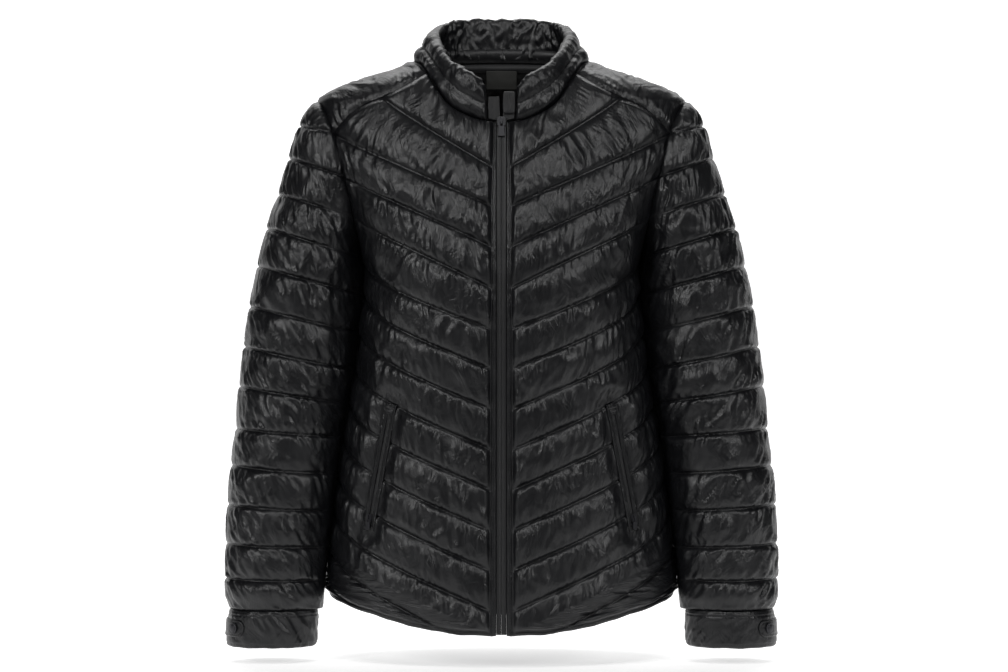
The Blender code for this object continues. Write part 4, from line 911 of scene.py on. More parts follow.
def panel(side, sign, sizes):
    """Outer and inner grids of a front, or of the back's half at x times sign over 0.

    The outer one is torso(share, height) + normal * relief. The relief is base + puff * crest * loft less the
    stitch groove, plus creases and gathers; it drops at seams, in the armpit's fold and round the pocket.
    """
    rows = panel_rows(side, sizes.rows)
    place, channel, corner = rows[2:]
    front, columns = side < 0, sizes.columns
    strip = PLACKET_COLUMNS if front else 0
    grid = panel_grid(side, rows, columns, strip)
    share, z = grid[..., 0], grid[..., 1]
    surface, normal = torso(share, z, side), torso_normal(share, z, side)
    u = run_along(surface, 1)
    v = run_along(surface, 0)[:, columns // 2][:, None] + np.zeros_like(u)
    width = np.interp(channel, *channel_widths(channel, v[:, 0]))[:, None]
    far = np.minimum(place, 1 - place)[:, None] * width
    fan = (np.arange(len(u)) >= corner)[:, None]
    start = np.where(fan, 0, u[:, [strip]])
    from_left, from_right = np.maximum(u - start, 0), u[:, [-1]] - u
    ends = SEAM_STAND + (1 - SEAM_STAND) * pillow(from_right, 11)
    ends = ends * (pillow(from_left, 8) if front else np.where(fan, pillow(from_left), 1))
    clear = ease((pocket_far(surface) - 8) / 14) if front else 1.0
    calm = fold_ease(surface)
    signed = (u if front else share * BACK_WIDE) * sign
    seed = 3 if front else 7
    loft = 1 + 0.28 * noise(signed / 46, channel[:, None] * 2.3 + 0.5 + v / 90, seed)
    beside = ease((27 - from_right) / 14) * (z[:, [-1]] < ARMHOLE[-1, 0])
    bulge = crest(place)[:, None]
    base = (sizes.base + sizes.puff * (bulge + 0.8 * (1 - bulge) * beside) * loft) * (0.25 + 0.75 * clear)
    body = (base - sizes.groove * stitch_groove(far) * (1 - 0.8 * beside)) * calm * ends
    edged = fan | front
    inside = ease(from_right / 9) * np.where(edged, ease(from_left / 7), 1)
    hem_far = surface[..., 2] - hem_height(surface[..., 0])
    edge_far = np.where(edged, np.minimum(from_left, from_right), from_right)
    rough = crumple(signed, v, seed + 10) * sizes.crease * ease(far / 6)
    pulls = gathers(signed, v, far, 0.12 * sign, seed + 20) * sizes.pucker
    side_pulls = gathers(v, u, edge_far, 0.2, seed + 40 + sign) * sizes.pucker * 0.75
    rough = rough + pulls + side_pulls * ease((hem_far - 30) / 15)
    rough = rough * inside * (0.35 + 0.65 * clear) * (0.35 + 0.65 * calm)
    if front:
        column = np.arange(columns)[None]
        rough = np.where((column < strip) & ~fan, 0, rough)
        lip = 1.5 * np.sin(math.pi * np.clip(u / np.maximum(start, 1e-6), 0, 1)) ** 0.5
        lip = lip * (1 + 0.5 * noise(v / 9, 0 * v, seed + 30)) * ease((u[:, [strip]] - u + 0.2) / 0.8)
        body = np.where((column <= strip) & ~fan, lip, body)
    band = ease((hem_far - 3.5) / 5)
    edge = 1.3 * pillow(hem_far, 3.0) - 0.9 * np.exp(-((hem_far - 4.4) / 0.9) ** 2)
    turned = (body + rough) * band + edge * (1 - band) * ease(from_right / 6)
    relief = np.where(hem_far > 20, body + rough, turned) * ease((u[:, [-1]] - 2) / 12)
    shift = np.zeros_like(surface)
    shift[:, -1] += unit(surface[:, -2] - surface[:, -1])
    if front:
        shift[corner:, 0] += unit(surface[corner:, 1] - surface[corner:, 0])
    else:
        shift[z[:, -1] > ARMHOLE[ARM_CORNER, 0], -1] *= BACK_SEAM
    shift[0] += unit(surface[1] - surface[0])
    shift[-1] = unit(surface[-3, -1] - surface[-1, -1]) * 2 + np.array([-1.0, side, 0])
    lean = normal.copy()
    on_arm = (z[:, -1] <= ARMHOLE[ARM_CORNER, 0]) & (z[:, -1] >= ARMHOLE[-1, 0])
    row = np.interp(z[:, -1], ARMHOLE[::-1, 0], np.arange(len(ARMHOLE))[::-1])
    lean[on_arm, -1] = arm_lean(row[on_arm], side)
    shift[on_arm, -1] = (-1.0, 0, 0)
    outer = surface + normal * relief[..., None] + shift * SEAM_GAP
    inner = surface - lean * WALL + shift * SEAM_GAP
    return hem_wave(outer), hem_wave(inner), np.stack([signed, v], -1), normal, place, corner


def channel_widths(channel, v):
    """Width of each channel from the run down the middle of the panel."""
    numbers = np.unique(channel)
    starts = np.array([v[channel == n][0] for n in numbers])
    ends = np.append(starts[1:], v[-1])
    return numbers, np.maximum(ends - starts, 8)


def panel_lines(outer, normal, place):
    """Lines where the quilting is sewn: the rows that start a channel."""
    return [(outer[r], normal[r]) for r in np.flatnonzero(place == 0) if r > 0]


def build_front(name, sign, sizes):
    """One front; its last sewn line runs down beside the zip."""
    outer, inner, uv, normal, place, corner = panel(-1, sign, sizes)
    made = put_wall(name + "_shell", name, SHELL, (outer, inner), uv,
                    kept_rows(len(outer), sizes.inner_step), sign)
    middle = PLACKET_COLUMNS // 2
    lines = panel_lines(outer, normal, place) + [(outer[:corner, middle + 1], normal[:corner, middle])]
    return flipped_lines(lines, sign)


def build_back_panel(sizes):
    """Both halves of the back in one wall: the second takes the first one's points down the middle."""
    points, faces, uvs, inners, lines, shared, total = [], [], [], [], [], None, 0
    for sign in (1, -1):
        outer, inner, uv, normal, place, corner = panel(1, sign, sizes)
        outer, inner, normal = (flipped(part, sign) for part in (outer, inner, normal))
        kept = np.unique(np.append(kept_rows(len(outer), sizes.inner_step), corner))
        more, quads, is_inner, shared = wall(outer, inner, kept, open_left=corner, first=total, shared=shared)
        total += len(more)
        points.append(more)
        faces.append(quads[:, ::sign])
        uvs += [uv.reshape(-1, 2), uv[kept].reshape(-1, 2)]
        inners.append(is_inner)
        lines += panel_lines(outer, normal, place)
    points, faces = np.concatenate(points), np.concatenate(faces)
    used, back = np.unique(faces, return_inverse=True)
    made = put_mesh("back_shell", points[used], back.reshape(faces.shape), np.concatenate(uvs)[used],
                    [material(kind) for kind in SHELL], np.concatenate(inners)[used])
    dress(made, "jacket", "back")
    return lines


def yoke_grid(steps, columns):
    """Coons patch in share and height between the front and back yoke seams, the neck and the armhole: its
    points, their normals, and the directions across the wall."""
    along = np.linspace(0, 1, columns)
    turn = np.linspace(0, 1, steps)
    front = seam_points(yoke_seam(-1), along, -1)
    back = seam_points(yoke_seam(1), along, 1)
    back[:, 0] = 2 - back[:, 0]
    neck = np.stack([np.interp(turn, [0, 0.5, 1], [front[0, 0], 1, back[0, 0]]),
                     smooth(turn, [0, 0.3, 0.6, 1], [front[0, 1], 17.5, 22, back[0, 1]])], -1)
    row = np.abs(turn * 6 - 3)
    arm = np.stack([np.where(turn <= 0.5, arm_share(row, -1), 2 - arm_share(row, 1)),
                    np.where(turn <= 0.5, arm_seam(row, -1)[0], arm_seam(row, 1)[0])], -1)
    u, v = turn[:, None, None], along[None, :, None]
    grid = ((1 - u) * front[None] + u * back[None] + (1 - v) * neck[:, None] + v * arm[:, None]
            - (1 - u) * (1 - v) * front[0] - u * (1 - v) * back[0]
            - (1 - u) * v * front[-1] - u * v * back[-1])
    share, z = grid[..., 0], grid[..., 1]
    is_front = (share <= 1)[..., None]
    near, far = np.minimum(share, 1), np.minimum(2 - share, 1)
    surface = np.where(is_front, torso(near, z, -1), torso(far, z, 1))
    normal = np.where(is_front, torso_normal(near, z, -1), torso_normal(far, z, 1))
    lean = normal.copy()
    lean[:, -1] = np.where((turn <= 0.5)[:, None], arm_lean(row, -1), arm_lean(row, 1))
    return surface, unit(normal), lean


def build_yoke(name, sign, sizes):
    """Plain yoke, lifted by its filling, with creases all over and gathers along its two long seams."""
    steps = sizes.rows * 5
    surface, normal, lean = yoke_grid(steps, sizes.columns)
    u, v = run_along(surface, 1), run_along(surface, 0)
    seam_far = np.minimum(v, v[[-1]] - v)
    edge = np.minimum(np.minimum(u, u[:, [-1]] - u), seam_far)
    lift = YOKE_STAND * (SEAM_STAND + (1 - SEAM_STAND) * ease(edge / 10))
    at_u, at_v = u * sign + 90, v + 700
    rough = crumple(at_u, at_v, 23) * sizes.crease * 0.7 * ease(edge / 8)
    pulls = gathers(u * sign, v, seam_far, 0.3 * sign, 31) * sizes.pucker * ease(edge / 3)
    shift = np.zeros_like(surface)
    shift[0] += unit(surface[1] - surface[0])
    shift[-1] += BACK_SEAM * unit(surface[-2] - surface[-1])
    shift[:, 0] += unit(surface[:, 1] - surface[:, 0])
    shift[:, -1] += np.array([-0.7, 0, 0.7])
    outer = surface + normal * (lift + rough + pulls)[..., None] + shift * SEAM_GAP
    inner = surface - lean * WALL + shift * SEAM_GAP
    made = put_wall(name + "_shell", name, SHELL, (outer, inner), np.stack([at_u, at_v], -1),
                    kept_rows(steps, sizes.inner_step), sign)
    inset = int(round(steps * TOPSTITCH / float(v[-1].mean())))
    return flipped_lines([(outer[r], normal[r]) for r in (inset, -1 - inset)], sign)


# ---- sleeves ----

def sleeve_grid(sizes):
    """Rings round the arm, each a half ellipse from the crown to its front and its back end; with each row's
    place in its channel, the channel's number, and the row of ARMHOLE for those of the cap."""
    fine, half = sizes.rows, sizes.sleeve_half
    place_one = channel_places(fine)
    cap_row = np.concatenate([low + (high - low) * place_one
                              for low, high in zip(CAP_LINES[:-1], CAP_LINES[1:])])
    low_row = np.append((np.arange(CUFF_ROW)[:, None] + place_one[None]).reshape(-1), float(CUFF_ROW))
    crown_z, crown_x, deep_cap, mid_cap = np.moveaxis(table_at(cap_row, SLEEVE_CAP), -1, 0)
    z, x, z_in, x_in, deep_low, mid_low = np.moveaxis(table_at(low_row, SLEEVE), -1, 0)
    low_end = np.stack([x_in, mid_low, z_in], -1)
    crown = np.concatenate([np.stack([crown_x, mid_cap, crown_z], -1), np.stack([x, mid_low, z], -1)])
    seams = [torso(arm_share(cap_row, s), arm_seam(cap_row, s)[0], s) for s in (-1, 1)]
    end = np.stack([np.concatenate([seam, low_end]) for seam in seams], 1)
    deep, mid = np.concatenate([deep_cap, deep_low]), np.concatenate([mid_cap, mid_low])
    count = len(CAP_LINES) - 1 + CUFF_ROW
    place = np.append(np.tile(place_one, count), 0.0)
    channel = np.append(np.repeat(np.arange(float(count)), fine), float(count))
    step = np.arange(-half, half + 1)
    stop_at = end[:, (step > 0).astype(int)]
    reach = np.abs(stop_at[..., 1] - mid[:, None])
    ratio = np.clip(reach / np.maximum(deep, 1e-6)[:, None], 0, 1)
    stop = np.where(deep[:, None] > 0, math.pi - np.arcsin(ratio), math.pi / 2)
    turn = stop * np.abs(step)[None] / half
    arm = (crown[:, None] - stop_at) / (1 - np.cos(stop))[..., None]
    grid = crown[:, None] - arm + arm * np.cos(turn)[..., None]
    grid[..., 1] = mid[:, None] + np.sign(step)[None] * deep[:, None] * np.sin(turn)
    grid[0] = grid[0, half]
    return grid, place, channel, cap_row


def grid_normals(grid):
    """Outward directions of a sleeve's rings, whose columns run from the front over the outer arm behind."""
    down, around = np.gradient(grid, axis=0), np.gradient(grid, axis=1)
    closed = np.linalg.norm(grid[:, 0] - grid[:, -1], axis=-1) < 1e-6
    wrap = grid[:, 1] - grid[:, -2]
    around[closed, 0] = wrap[closed]
    around[closed, -1] = wrap[closed]
    return unit(np.cross(down, around))


def build_sleeve(name, sign, sizes):
    """Sleeve: base + puff * crest * loft over its rings, less on the outer arm, at the wrist and beside the
    body, where the inner arm follows the torso's side; its creases slant down towards the body."""
    grid, place, channel, cap_row = sleeve_grid(sizes)
    cap = len(cap_row)
    normal = grid_normals(grid)
    normal[0] = arm_lean(0.0, 1)
    u = run_along(grid, 1)
    u = u - u[:, [sizes.sleeve_half]]
    v = run_along(grid, 0)[:, sizes.sleeve_half][:, None] + np.zeros_like(u)
    width = np.interp(channel, *channel_widths(channel, v[:, 0]))[:, None]
    far = np.minimum(place, 1 - place)[:, None] * width
    edge = np.minimum(u - u[:, [0]], u[:, [-1]] - u)
    is_cap = (np.arange(len(grid)) < cap)[:, None]
    ends = np.where(is_cap, SEAM_STAND + (1 - SEAM_STAND) * pillow(edge, 10), 1)
    calm = fold_ease(grid)
    seed = 13 if sign > 0 else 17
    inwards = np.abs(u) / np.maximum(u[:, [-1]], 1)
    # On the closed rings the pattern is blended with itself, so it meets at the inner arm.
    closing = np.where(is_cap, 0, ease((inwards - 0.8) / 0.2))

    def meet(pattern):
        return pattern(u) * (1 - 0.5 * closing) + pattern(-u) * 0.5 * closing

    loft = 1 + 0.3 * meet(lambda w: noise(w / 40, channel[:, None] * 2.3 + 0.5 + v / 80, seed))
    outer_arm, front_arm = SLEEVE_PUFF
    front = ease(np.abs(u) / 60)
    top = ((channel == 0) & (place < 0.5))[:, None]
    bulge = np.where(top, 1, crest(place)[:, None]) * (outer_arm + (front_arm - outer_arm) * front)
    wrist = 1 - 0.55 * ease((place + channel - channel.max() + 0.45) / 0.4)[:, None]
    base = (sizes.base + 1.4 * (1 - front) + sizes.puff * bulge * loft) * wrist
    dip = sizes.groove * stitch_groove(far) * ~top * (0.5 + 0.5 * front)
    body = (base - dip) * calm * np.where(top, 0.8 + 0.2 * ends, ends)
    facing = np.where(is_cap, 0, ease((inwards - 0.76) / 0.16))
    side_x = torso(np.ones(len(grid)), grid[:, 0, 2], -1)[:, None, 0]
    room = grid[:, [0], 0] - side_x - BODY_STAND * calm[:, [0]]
    body = body * (1 - facing) + np.clip(room - 0.8, 0.6, 8) * facing
    share = (0.4 + 0.6 * ease(np.abs(u) / 50)) * (1 - 0.8 * facing)
    rough = meet(lambda w: crumple(w, v + 60, seed + 5, SLEEVE_CREASES)) * sizes.crease * ease(far / 5) * 1.45
    pulls = meet(lambda w: gathers(w, v, far, 0.55, seed + 25)) * sizes.pucker * 1.3
    seam_pulls = np.where(is_cap, gathers(v, u, edge, -0.3, seed + 35) * sizes.pucker * 0.8, 0)
    rough = ((rough + pulls) * share + seam_pulls) * np.where(is_cap, ease(edge / 9), 1) * (0.3 + 0.7 * calm)
    lean, shift = normal.copy(), np.zeros_like(grid)
    arm_row = np.append(cap_row, len(ARMHOLE) - 1.0)
    for column, side in ((0, -1), (-1, 1)):
        lean[:cap + 1, column] = arm_lean(arm_row, side)
        shift[:cap + 1, column] = np.where((arm_row < ARM_CORNER)[:, None], (0.8, 0, -0.5), (1.0, 0, 0))
    lean[0] = lean[0, 0]
    shift[0] = (0.8, 0, -0.6)
    shift[-1] = (0, 0, 1.0)
    outer = grid + normal * (body + rough)[..., None] + shift * SEAM_GAP
    inner = grid - lean * WALL + shift * SEAM_GAP
    for part in (outer, inner):
        part[0] = part[0, 0]
        part[cap:, -1] = part[cap:, 0]
    kept = np.unique(np.append(kept_rows(len(grid), sizes.inner_step), cap))
    made = put_wall(name + "_shell", name, SHELL, (outer, inner), np.stack([u, v + 60], -1), kept,
                    sign, ring_from=cap)
    return flipped_lines([(outer[r], normal[r]) for r in np.flatnonzero(place == 0)[1:-1]], sign)


# ---- cuffs ----

def cuff_point(turn, share, out=0.0):
    """Cuff surface: turn is 0 at the outer arm and a quarter turn in front; share is 0 at its seam and 1 at
    its edge."""
    turn, share, out = np.broadcast_arrays(*(np.asarray(a, float) for a in (turn, share, out)))
    low, high = SLEEVE[CUFF_ROW], SLEEVE[CUFF_ROW + 1]
    z, x, z_in, x_in, deep, mid = (low[c] + (high[c] - low[c]) * share for c in range(6))
    arm = (x - x_in) / 2
    normal = unit(np.stack([np.cos(turn) / arm, -np.sin(turn) / deep, np.zeros_like(turn)], -1))
    point = np.stack([(x + x_in) / 2 + arm * np.cos(turn), mid - deep * np.sin(turn), (z + z_in) / 2], -1)
    return point + normal * out[..., None], normal


def build_cuff(name, sign, sizes):
    """Plain band: swell 2.2 (1 - |2s - 1|^12), two sewn grooves under its seam and one above its edge."""
    steps = 36
    share = np.linspace(0, 1, steps)[:, None]
    turn = math.pi - np.linspace(0, math.tau, 2 * sizes.sleeve_half + 1)[None]
    centre, _ = cuff_point(turn, share)
    u = run_along(centre, 1)
    v = share * CUFF_TALL + np.zeros_like(u)
    total = u[:, [-1]]
    closing = ease((np.abs(u / total - 0.5) * 2 - 0.8) / 0.2)

    def meet(pattern):
        return pattern(u) * (1 - 0.5 * closing) + pattern(total - u) * 0.5 * closing

    seed = 41 if sign > 0 else 43
    off_tab = ease((np.abs(np.degrees(turn) - sum(TAB_TURN) / 2) - 48) / 18)
    rough = meet(lambda w: crumple(w * 0.7, v * 0.8 + 300, seed, SLEEVE_CREASES)) * sizes.crease
    rough = rough * (0.35 + 0.6 * off_tab) * ease(v / 4) * ease((CUFF_TALL - v) / 3)
    groove = sum(0.8 * np.exp(-((v - at) / 0.8) ** 2) for at in CUFF_STITCHES)
    outer, normal = cuff_point(turn, share, 2.2 * (1 - np.abs(2 * share - 1) ** 12) + rough - groove)
    inner, _ = cuff_point(turn, share, -WALL)
    lift = 1.1 * meet(lambda w: noise(w / 17, 0 * w, seed + 9)) * ease((v - 30) / 12)
    for part in (outer, inner):
        part[..., 2] += lift
        part[0, :, 2] -= SEAM_GAP
        part[:, -1] = part[:, 0]
    made = put_wall(name + "_shell", name, SHELL, (outer, inner), np.stack([u, v + 300], -1),
                    kept_rows(steps, 3), sign, ring_from=0)
    rows = [int(round(at / CUFF_TALL * (steps - 1))) for at in CUFF_STITCHES]
    return flipped_lines([(outer[r], normal[r]) for r in rows], sign)


def build_tab(name, sign):
    """Strap on the cuff, its front end a half round: its half width is sqrt(1 - t^2) over the last part."""
    columns, steps = 72, 20
    turn = np.radians(np.linspace(*TAB_TURN, columns))
    middle, half = sum(TAB_SHARE) / 2, (TAB_SHARE[1] - TAB_SHARE[0]) / 2
    radius = CUFF_TALL * half
    centre, _ = cuff_point(turn, middle, TAB_LIFT)
    run = run_along(centre, 0)
    length = run[-1]
    narrow = np.sqrt(np.maximum(1 - np.clip((run - length + radius) / radius, 0, 1) ** 2, 0.02))
    across = np.linspace(-1, 1, steps)[:, None]
    share = middle + across * half * narrow[None]
    turn = np.broadcast_to(turn, share.shape)
    edge = np.minimum((1 - np.abs(across)) * radius * narrow[None], np.minimum(run, length - run)[None])
    groove = 0.35 * np.exp(-((edge - TOPSTITCH) / 0.6) ** 2)
    rough = 0.35 * noise(run[None] / 9 + 0 * across, across * 1.4 + 0 * run, 61) * ease(edge / 1.5)
    top = TAB_THICK * (0.55 + 0.45 * ease(edge / 0.8)) - groove + rough
    outer, _ = cuff_point(turn, share, TAB_LIFT + top)
    inner, _ = cuff_point(turn, share, TAB_LIFT)
    uv = np.stack([np.broadcast_to(run[::-1], share.shape), share * CUFF_TALL + 300], -1)
    made = put_wall(name + "_shell", name, SHELL[:1], (outer[:, ::-1], inner[:, ::-1]), uv,
                    np.arange(steps), sign)
    width, length = 2 * radius * MM, float(length) * MM
    line_turn = np.radians(np.linspace(TAB_TURN[0] + 3, TAB_TURN[1], columns))
    last = np.clip((run - run[-1] + radius) / (radius - TOPSTITCH), 0, 1)
    line_half = half * (1 - TOPSTITCH / radius) * np.sqrt(1 - last ** 2)
    lines = [cuff_point(line_turn, middle + way * line_half, TAB_LIFT + TAB_THICK - 0.2) for way in (-1, 1)]
    return flipped_lines(lines, sign)


def lathe(profile, segments):
    """Surface of revolution about local Z from radius and height, bottom to top, with its two poles."""
    turn = np.linspace(0, math.tau, segments, endpoint=False)
    radius, height = profile[:, :1], profile[:, 1:]
    return tube(np.stack([radius * np.cos(turn), radius * np.sin(turn), height + 0 * turn], -1))


def build_snap(name, sign):
    """Domed snap, a surface of revolution: a rolled rim, a shallow channel inside it and a low dome."""
    r = SNAP_WIDE / 2
    rim = [(r - 0.7, 0), (r - 0.1, 0.25), (r, 0.8), (r - 0.15, 1.35), (r - 0.6, 1.75), (r - 1.1, 1.8),
           (r - 1.5, 1.55)]
    turn = np.linspace(0, math.pi / 2, 40)
    dome = np.stack([(r - 1.7) * np.cos(turn), 1.5 + (SNAP_HIGH - 1.5) * np.sin(turn)], -1)
    points, faces = lathe(np.concatenate([rim, dome[dome[:, 0] > 0.12]]), 56)
    seat, out = cuff_point(math.radians(SNAP_TURN), SNAP_SHARE, TAB_LIFT + TAB_THICK + 0.1)
    right = unit(np.cross(np.array([0.0, 0.0, 1.0]), out))
    placed = points @ np.stack([right, np.cross(out, right), out]) + seat
    made = put_mesh(name + "_dome", flipped(placed, sign), faces, points[:, :2], [material("snap_metal")])
    dress(made, "jacket", name)


# ---- collar ----

def neck_loop(count):
    """Neck seam from the front edge to the centre back, evenly spaced."""
    fine = np.linspace(0, 1, 160)
    front = seam_points(NECK_FRONT, fine, -1)
    front = torso(front[:, 0], front[:, 1], -1)
    front = front[front[:, 0] >= COLLAR_START]
    start, end = seam_points(NECK_FRONT, np.array(1.0), -1), seam_points(NECK_BACK, np.array(1.0), 1)
    side_z = smooth(fine, [0, 0.3, 0.6, 1], [start[1], 17.5, 22, end[1]])
    side_share = np.interp(fine, [0, 0.5, 1], [start[0], 1, 2 - end[0]])
    near, far = np.minimum(side_share, 1), np.minimum(2 - side_share, 1)
    side = np.where((side_share <= 1)[:, None], torso(near, side_z, -1), torso(far, side_z, 1))
    back = seam_points(NECK_BACK, fine[::-1], 1)
    points = np.concatenate([front, side[1:], torso(back[:, 0], back[:, 1], 1)[1:]])
    run = run_along(points, 0)
    at = np.linspace(0, run[-1], count)
    return np.stack([np.interp(at, run, points[:, k]) for k in range(3)], -1)


def collar_frame(count):
    """Seam points, rise to the crest and outward directions of the half collar."""
    seam = neck_loop(count)
    share = np.linspace(0, 1, count)
    crest_line = np.stack([smooth(share, RIM[:, 0], RIM[:, k]) for k in (1, 2, 3)], -1)
    rise = crest_line - seam
    middle = (seam + crest_line) / 2
    along = np.gradient(middle, axis=0)
    along[-1] = (-1, 0, 0)
    out = unit(np.cross(along, rise))
    out[-1, 0] = 0
    return seam, rise, unit(out)


def collar_rings(section, count, lift=0.5):
    """Half strip of rings round the neck, each with one point for each pair of the section."""
    seam, rise, out = collar_frame(count)
    tall = np.linalg.norm(rise, axis=1)[:, None, None]
    up = rise[:, None] / tall
    offset, share = section[None, :, :1], section[None, :, 1:]
    return seam[:, None] + up * (lift + share * (tall - lift)) + out[:, None] * offset


def whole(rings):
    """The half strip and its mirror image, from the wearer's left front round to the right."""
    return np.concatenate([rings, flipped(rings[:-1], -1)[::-1]])


def closed_smooth(section, count):
    """Even points on a closed loop through the section: a periodic cubic between its corners."""
    loop = np.concatenate([section[-3:], section, section[:3]])
    at = np.linspace(0, len(section), count, endpoint=False)
    i = np.floor(at).astype(int) + 3
    t = (at - np.floor(at))[:, None]
    p0, p1, p2, p3 = (loop[i + d] for d in (-1, 0, 1, 2))
    return 0.5 * (2 * p1 + (p2 - p0) * t + (2 * p0 - 5 * p1 + 4 * p2 - p3) * t ** 2
                  + (3 * p1 - p0 - 3 * p2 + p3) * t ** 3)


def build_collar(sizes):
    """Padded stand collar: the section carried round the neck, crumpled more inside than outside, with a
    shallow groove at half its height, and its ends drawn in to rounded tips."""
    section = closed_smooth(COLLAR_SECTION, COLLAR_POINTS)
    corner = COLLAR_POINTS / len(COLLAR_SECTION)
    rings = whole(collar_rings(section, COLLAR_RINGS))
    around, along = np.gradient(rings, axis=1), np.gradient(rings, axis=0)
    around[:, 0] = rings[:, 1] - rings[:, -1]
    around[:, -1] = rings[:, 0] - rings[:, -2]
    normal = unit(np.cross(around, along))
    if np.einsum("ijk,ijk->", normal, rings - rings.mean(axis=1, keepdims=True)) < 0:
        normal = -normal
    u = run_along(rings, 0)[:, [20]] + np.zeros(rings.shape[:2])
    v = run_along(np.concatenate([rings, rings[:, :1]], axis=1), 1)[:, :-1]
    closing = ease((np.abs(v / v[:, [-1]] - 0.5) * 2 - 0.85) / 0.15)
    outside, share = (section[:, 0] > -2)[None], np.clip(section[:, 1], 0, 1)[None]
    rough = crumple(u * 1.2, v * 1.3, 81) * sizes.crease * np.where(outside, 0.7, 1.6) * (1 - closing)
    groove = np.where(outside, 1 - 0.6 * np.exp(-((share - 0.47) / 0.05) ** 2), 1)
    slow = 1.4 * noise(u / 33, v / 26, 83)
    rings = rings + normal * ((rough * groove + slow) * ease(share / 0.12))[..., None]
    thin = rings.mean(axis=1, keepdims=True)
    run = run_along(thin[:, 0], 0)
    inset = np.clip(np.minimum(run, run[-1] - run) / 5.0, 0, 1)
    draw = np.sqrt(np.clip(1 - (1 - inset) ** 2, 0.05, 1))[:, None, None]
    upright = unit(rings[:, [int(7 * corner)]] - rings[:, [0]])
    offset = rings - thin
    tall = (offset * upright).sum(axis=-1, keepdims=True) * upright
    rings = thin + tall * (0.9 + 0.1 * draw) + (offset - tall) * draw
    points, faces = tube(rings)
    uv = np.stack([u + 500, v], -1).reshape(-1, 2)
    made = put_mesh("collar_shell", points, faces, np.concatenate([uv, uv[:1], uv[-1:]]),
                    [material("shell_nylon")])
    dress(made, "jacket", "collar")
    line = int(round(3 * corner))
    return [(rings[4:-4, line], normal[4:-4, line])]


def build_neck_finish():
    """Smooth facing inside the back neck, and the tape that covers the seam under it."""
    facing = [(-5.6, 0.02), (-6.4, 0.2), (-6.9, 0.32), (-8.1, 0.32), (-7.6, 0.2), (-6.8, 0.02)]
    tape = [(-4.2, -0.2), (-5.3, -0.02), (-6.4, -0.02), (-5.3, -0.2)]
    count = 145
    for name, section, finish, slot in (("neck_facing", facing, "lining_nylon", "lining"),
                                        ("neck_tape", tape, "neck_cloth", "neck_tape")):
        rings = whole(collar_rings(np.array(section), count)[int(count * 9 / 16):])
        u = run_along(rings, 0)
        rings = rings + 0.25 * noise(u / 14, u * 0 + 2, 87)[..., None] * np.array([0, -1, 0.3])
        points, faces = tube(rings)
        uv = np.stack([u, np.arange(rings.shape[1])[None] * 6 + 0 * u], -1).reshape(-1, 2)
        made = put_mesh(name + "_cloth", points, faces, np.concatenate([uv, uv[:1], uv[-1:]]),
                        [material(finish)])
        dress(made, "jacket", name)


def build_label():
    """Bare woven label: a thin rectangle bowed by 0.4 mm, 0.4 cos(pi x / width)."""
    seam = torso(0, NECK_BACK[0][1], 1)
    rows, columns = 24, 40
    x = np.linspace(-0.5, 0.5, columns)[None] * LABEL_WIDE + np.zeros((rows, 1))
    z = 5.0 + np.linspace(0.5, -0.5, rows)[:, None] * LABEL_TALL + np.zeros((1, columns))
    y = float(seam[1]) - 7.1 - 0.4 * np.cos(x / LABEL_WIDE * math.pi) + 0.25 * noise(x / 9, z / 9, 88)
    grids = [np.stack([x, y + way * LABEL_THICK / 2, z], -1) for way in (-1, 1)]
    made = put_wall("neck_label_cloth", "neck_label", ["label_cloth"], grids, np.stack([x, z], -1),
                    np.arange(rows))


# ---- zips ----

def zip_y(z):
    """Depth of the zip's face at a height; above the neck seam it leans with the collar."""
    neck = NECK_FRONT[0][1]
    face = -ring(np.minimum(z, neck), -1)[1] + ZIP_SET_BACK
    return face + np.maximum(z - neck, 0) * 0.1


def build_zip_half(name, sign):
    """Half the tape: flat cloth with the coil's turns pressing through beside the middle."""
    heights = np.linspace(ZIP_TAPE[-1, 0], ZIP_TAPE[0, 0], 1500)
    near, far = (np.interp(heights, ZIP_TAPE[:, 0], ZIP_TAPE[:, k])[:, None] for k in (1, 2))
    across = np.array([0, 0.06, 0.14, 0.24, 0.36, 0.46, 0.54, 0.62, 0.8, 0.94, 1.0])
    x = near + (far - near) * across[None]
    z = heights[:, None] + 0 * x
    turn = 0.5 + 0.5 * np.sin(math.tau * z / COIL_PITCH)
    coil = np.interp(across, [0, 0.06, 0.14, 0.36, 0.46, 0.54, 1], [0, 0.7, 1, 1, 0.35, 0, 0])
    rim = np.interp(across, [0, 0.6, 0.72, 0.8, 0.9, 1], [0, 0, 0.25, 0.3, 0.25, 0])
    relief = 0.55 * coil * (0.35 + 0.65 * turn) + 0.12 * noise(x / 3, z / 6, 95) + rim
    outer, inner = np.stack([x, zip_y(z) - relief, z], -1), np.stack([x, zip_y(z) + ZIP_THICK, z], -1)
    made = put_wall(name + "_coil", name, ["zip_cloth"], (outer, inner), np.stack([x, z], -1),
                    kept_rows(len(heights), 6), sign)


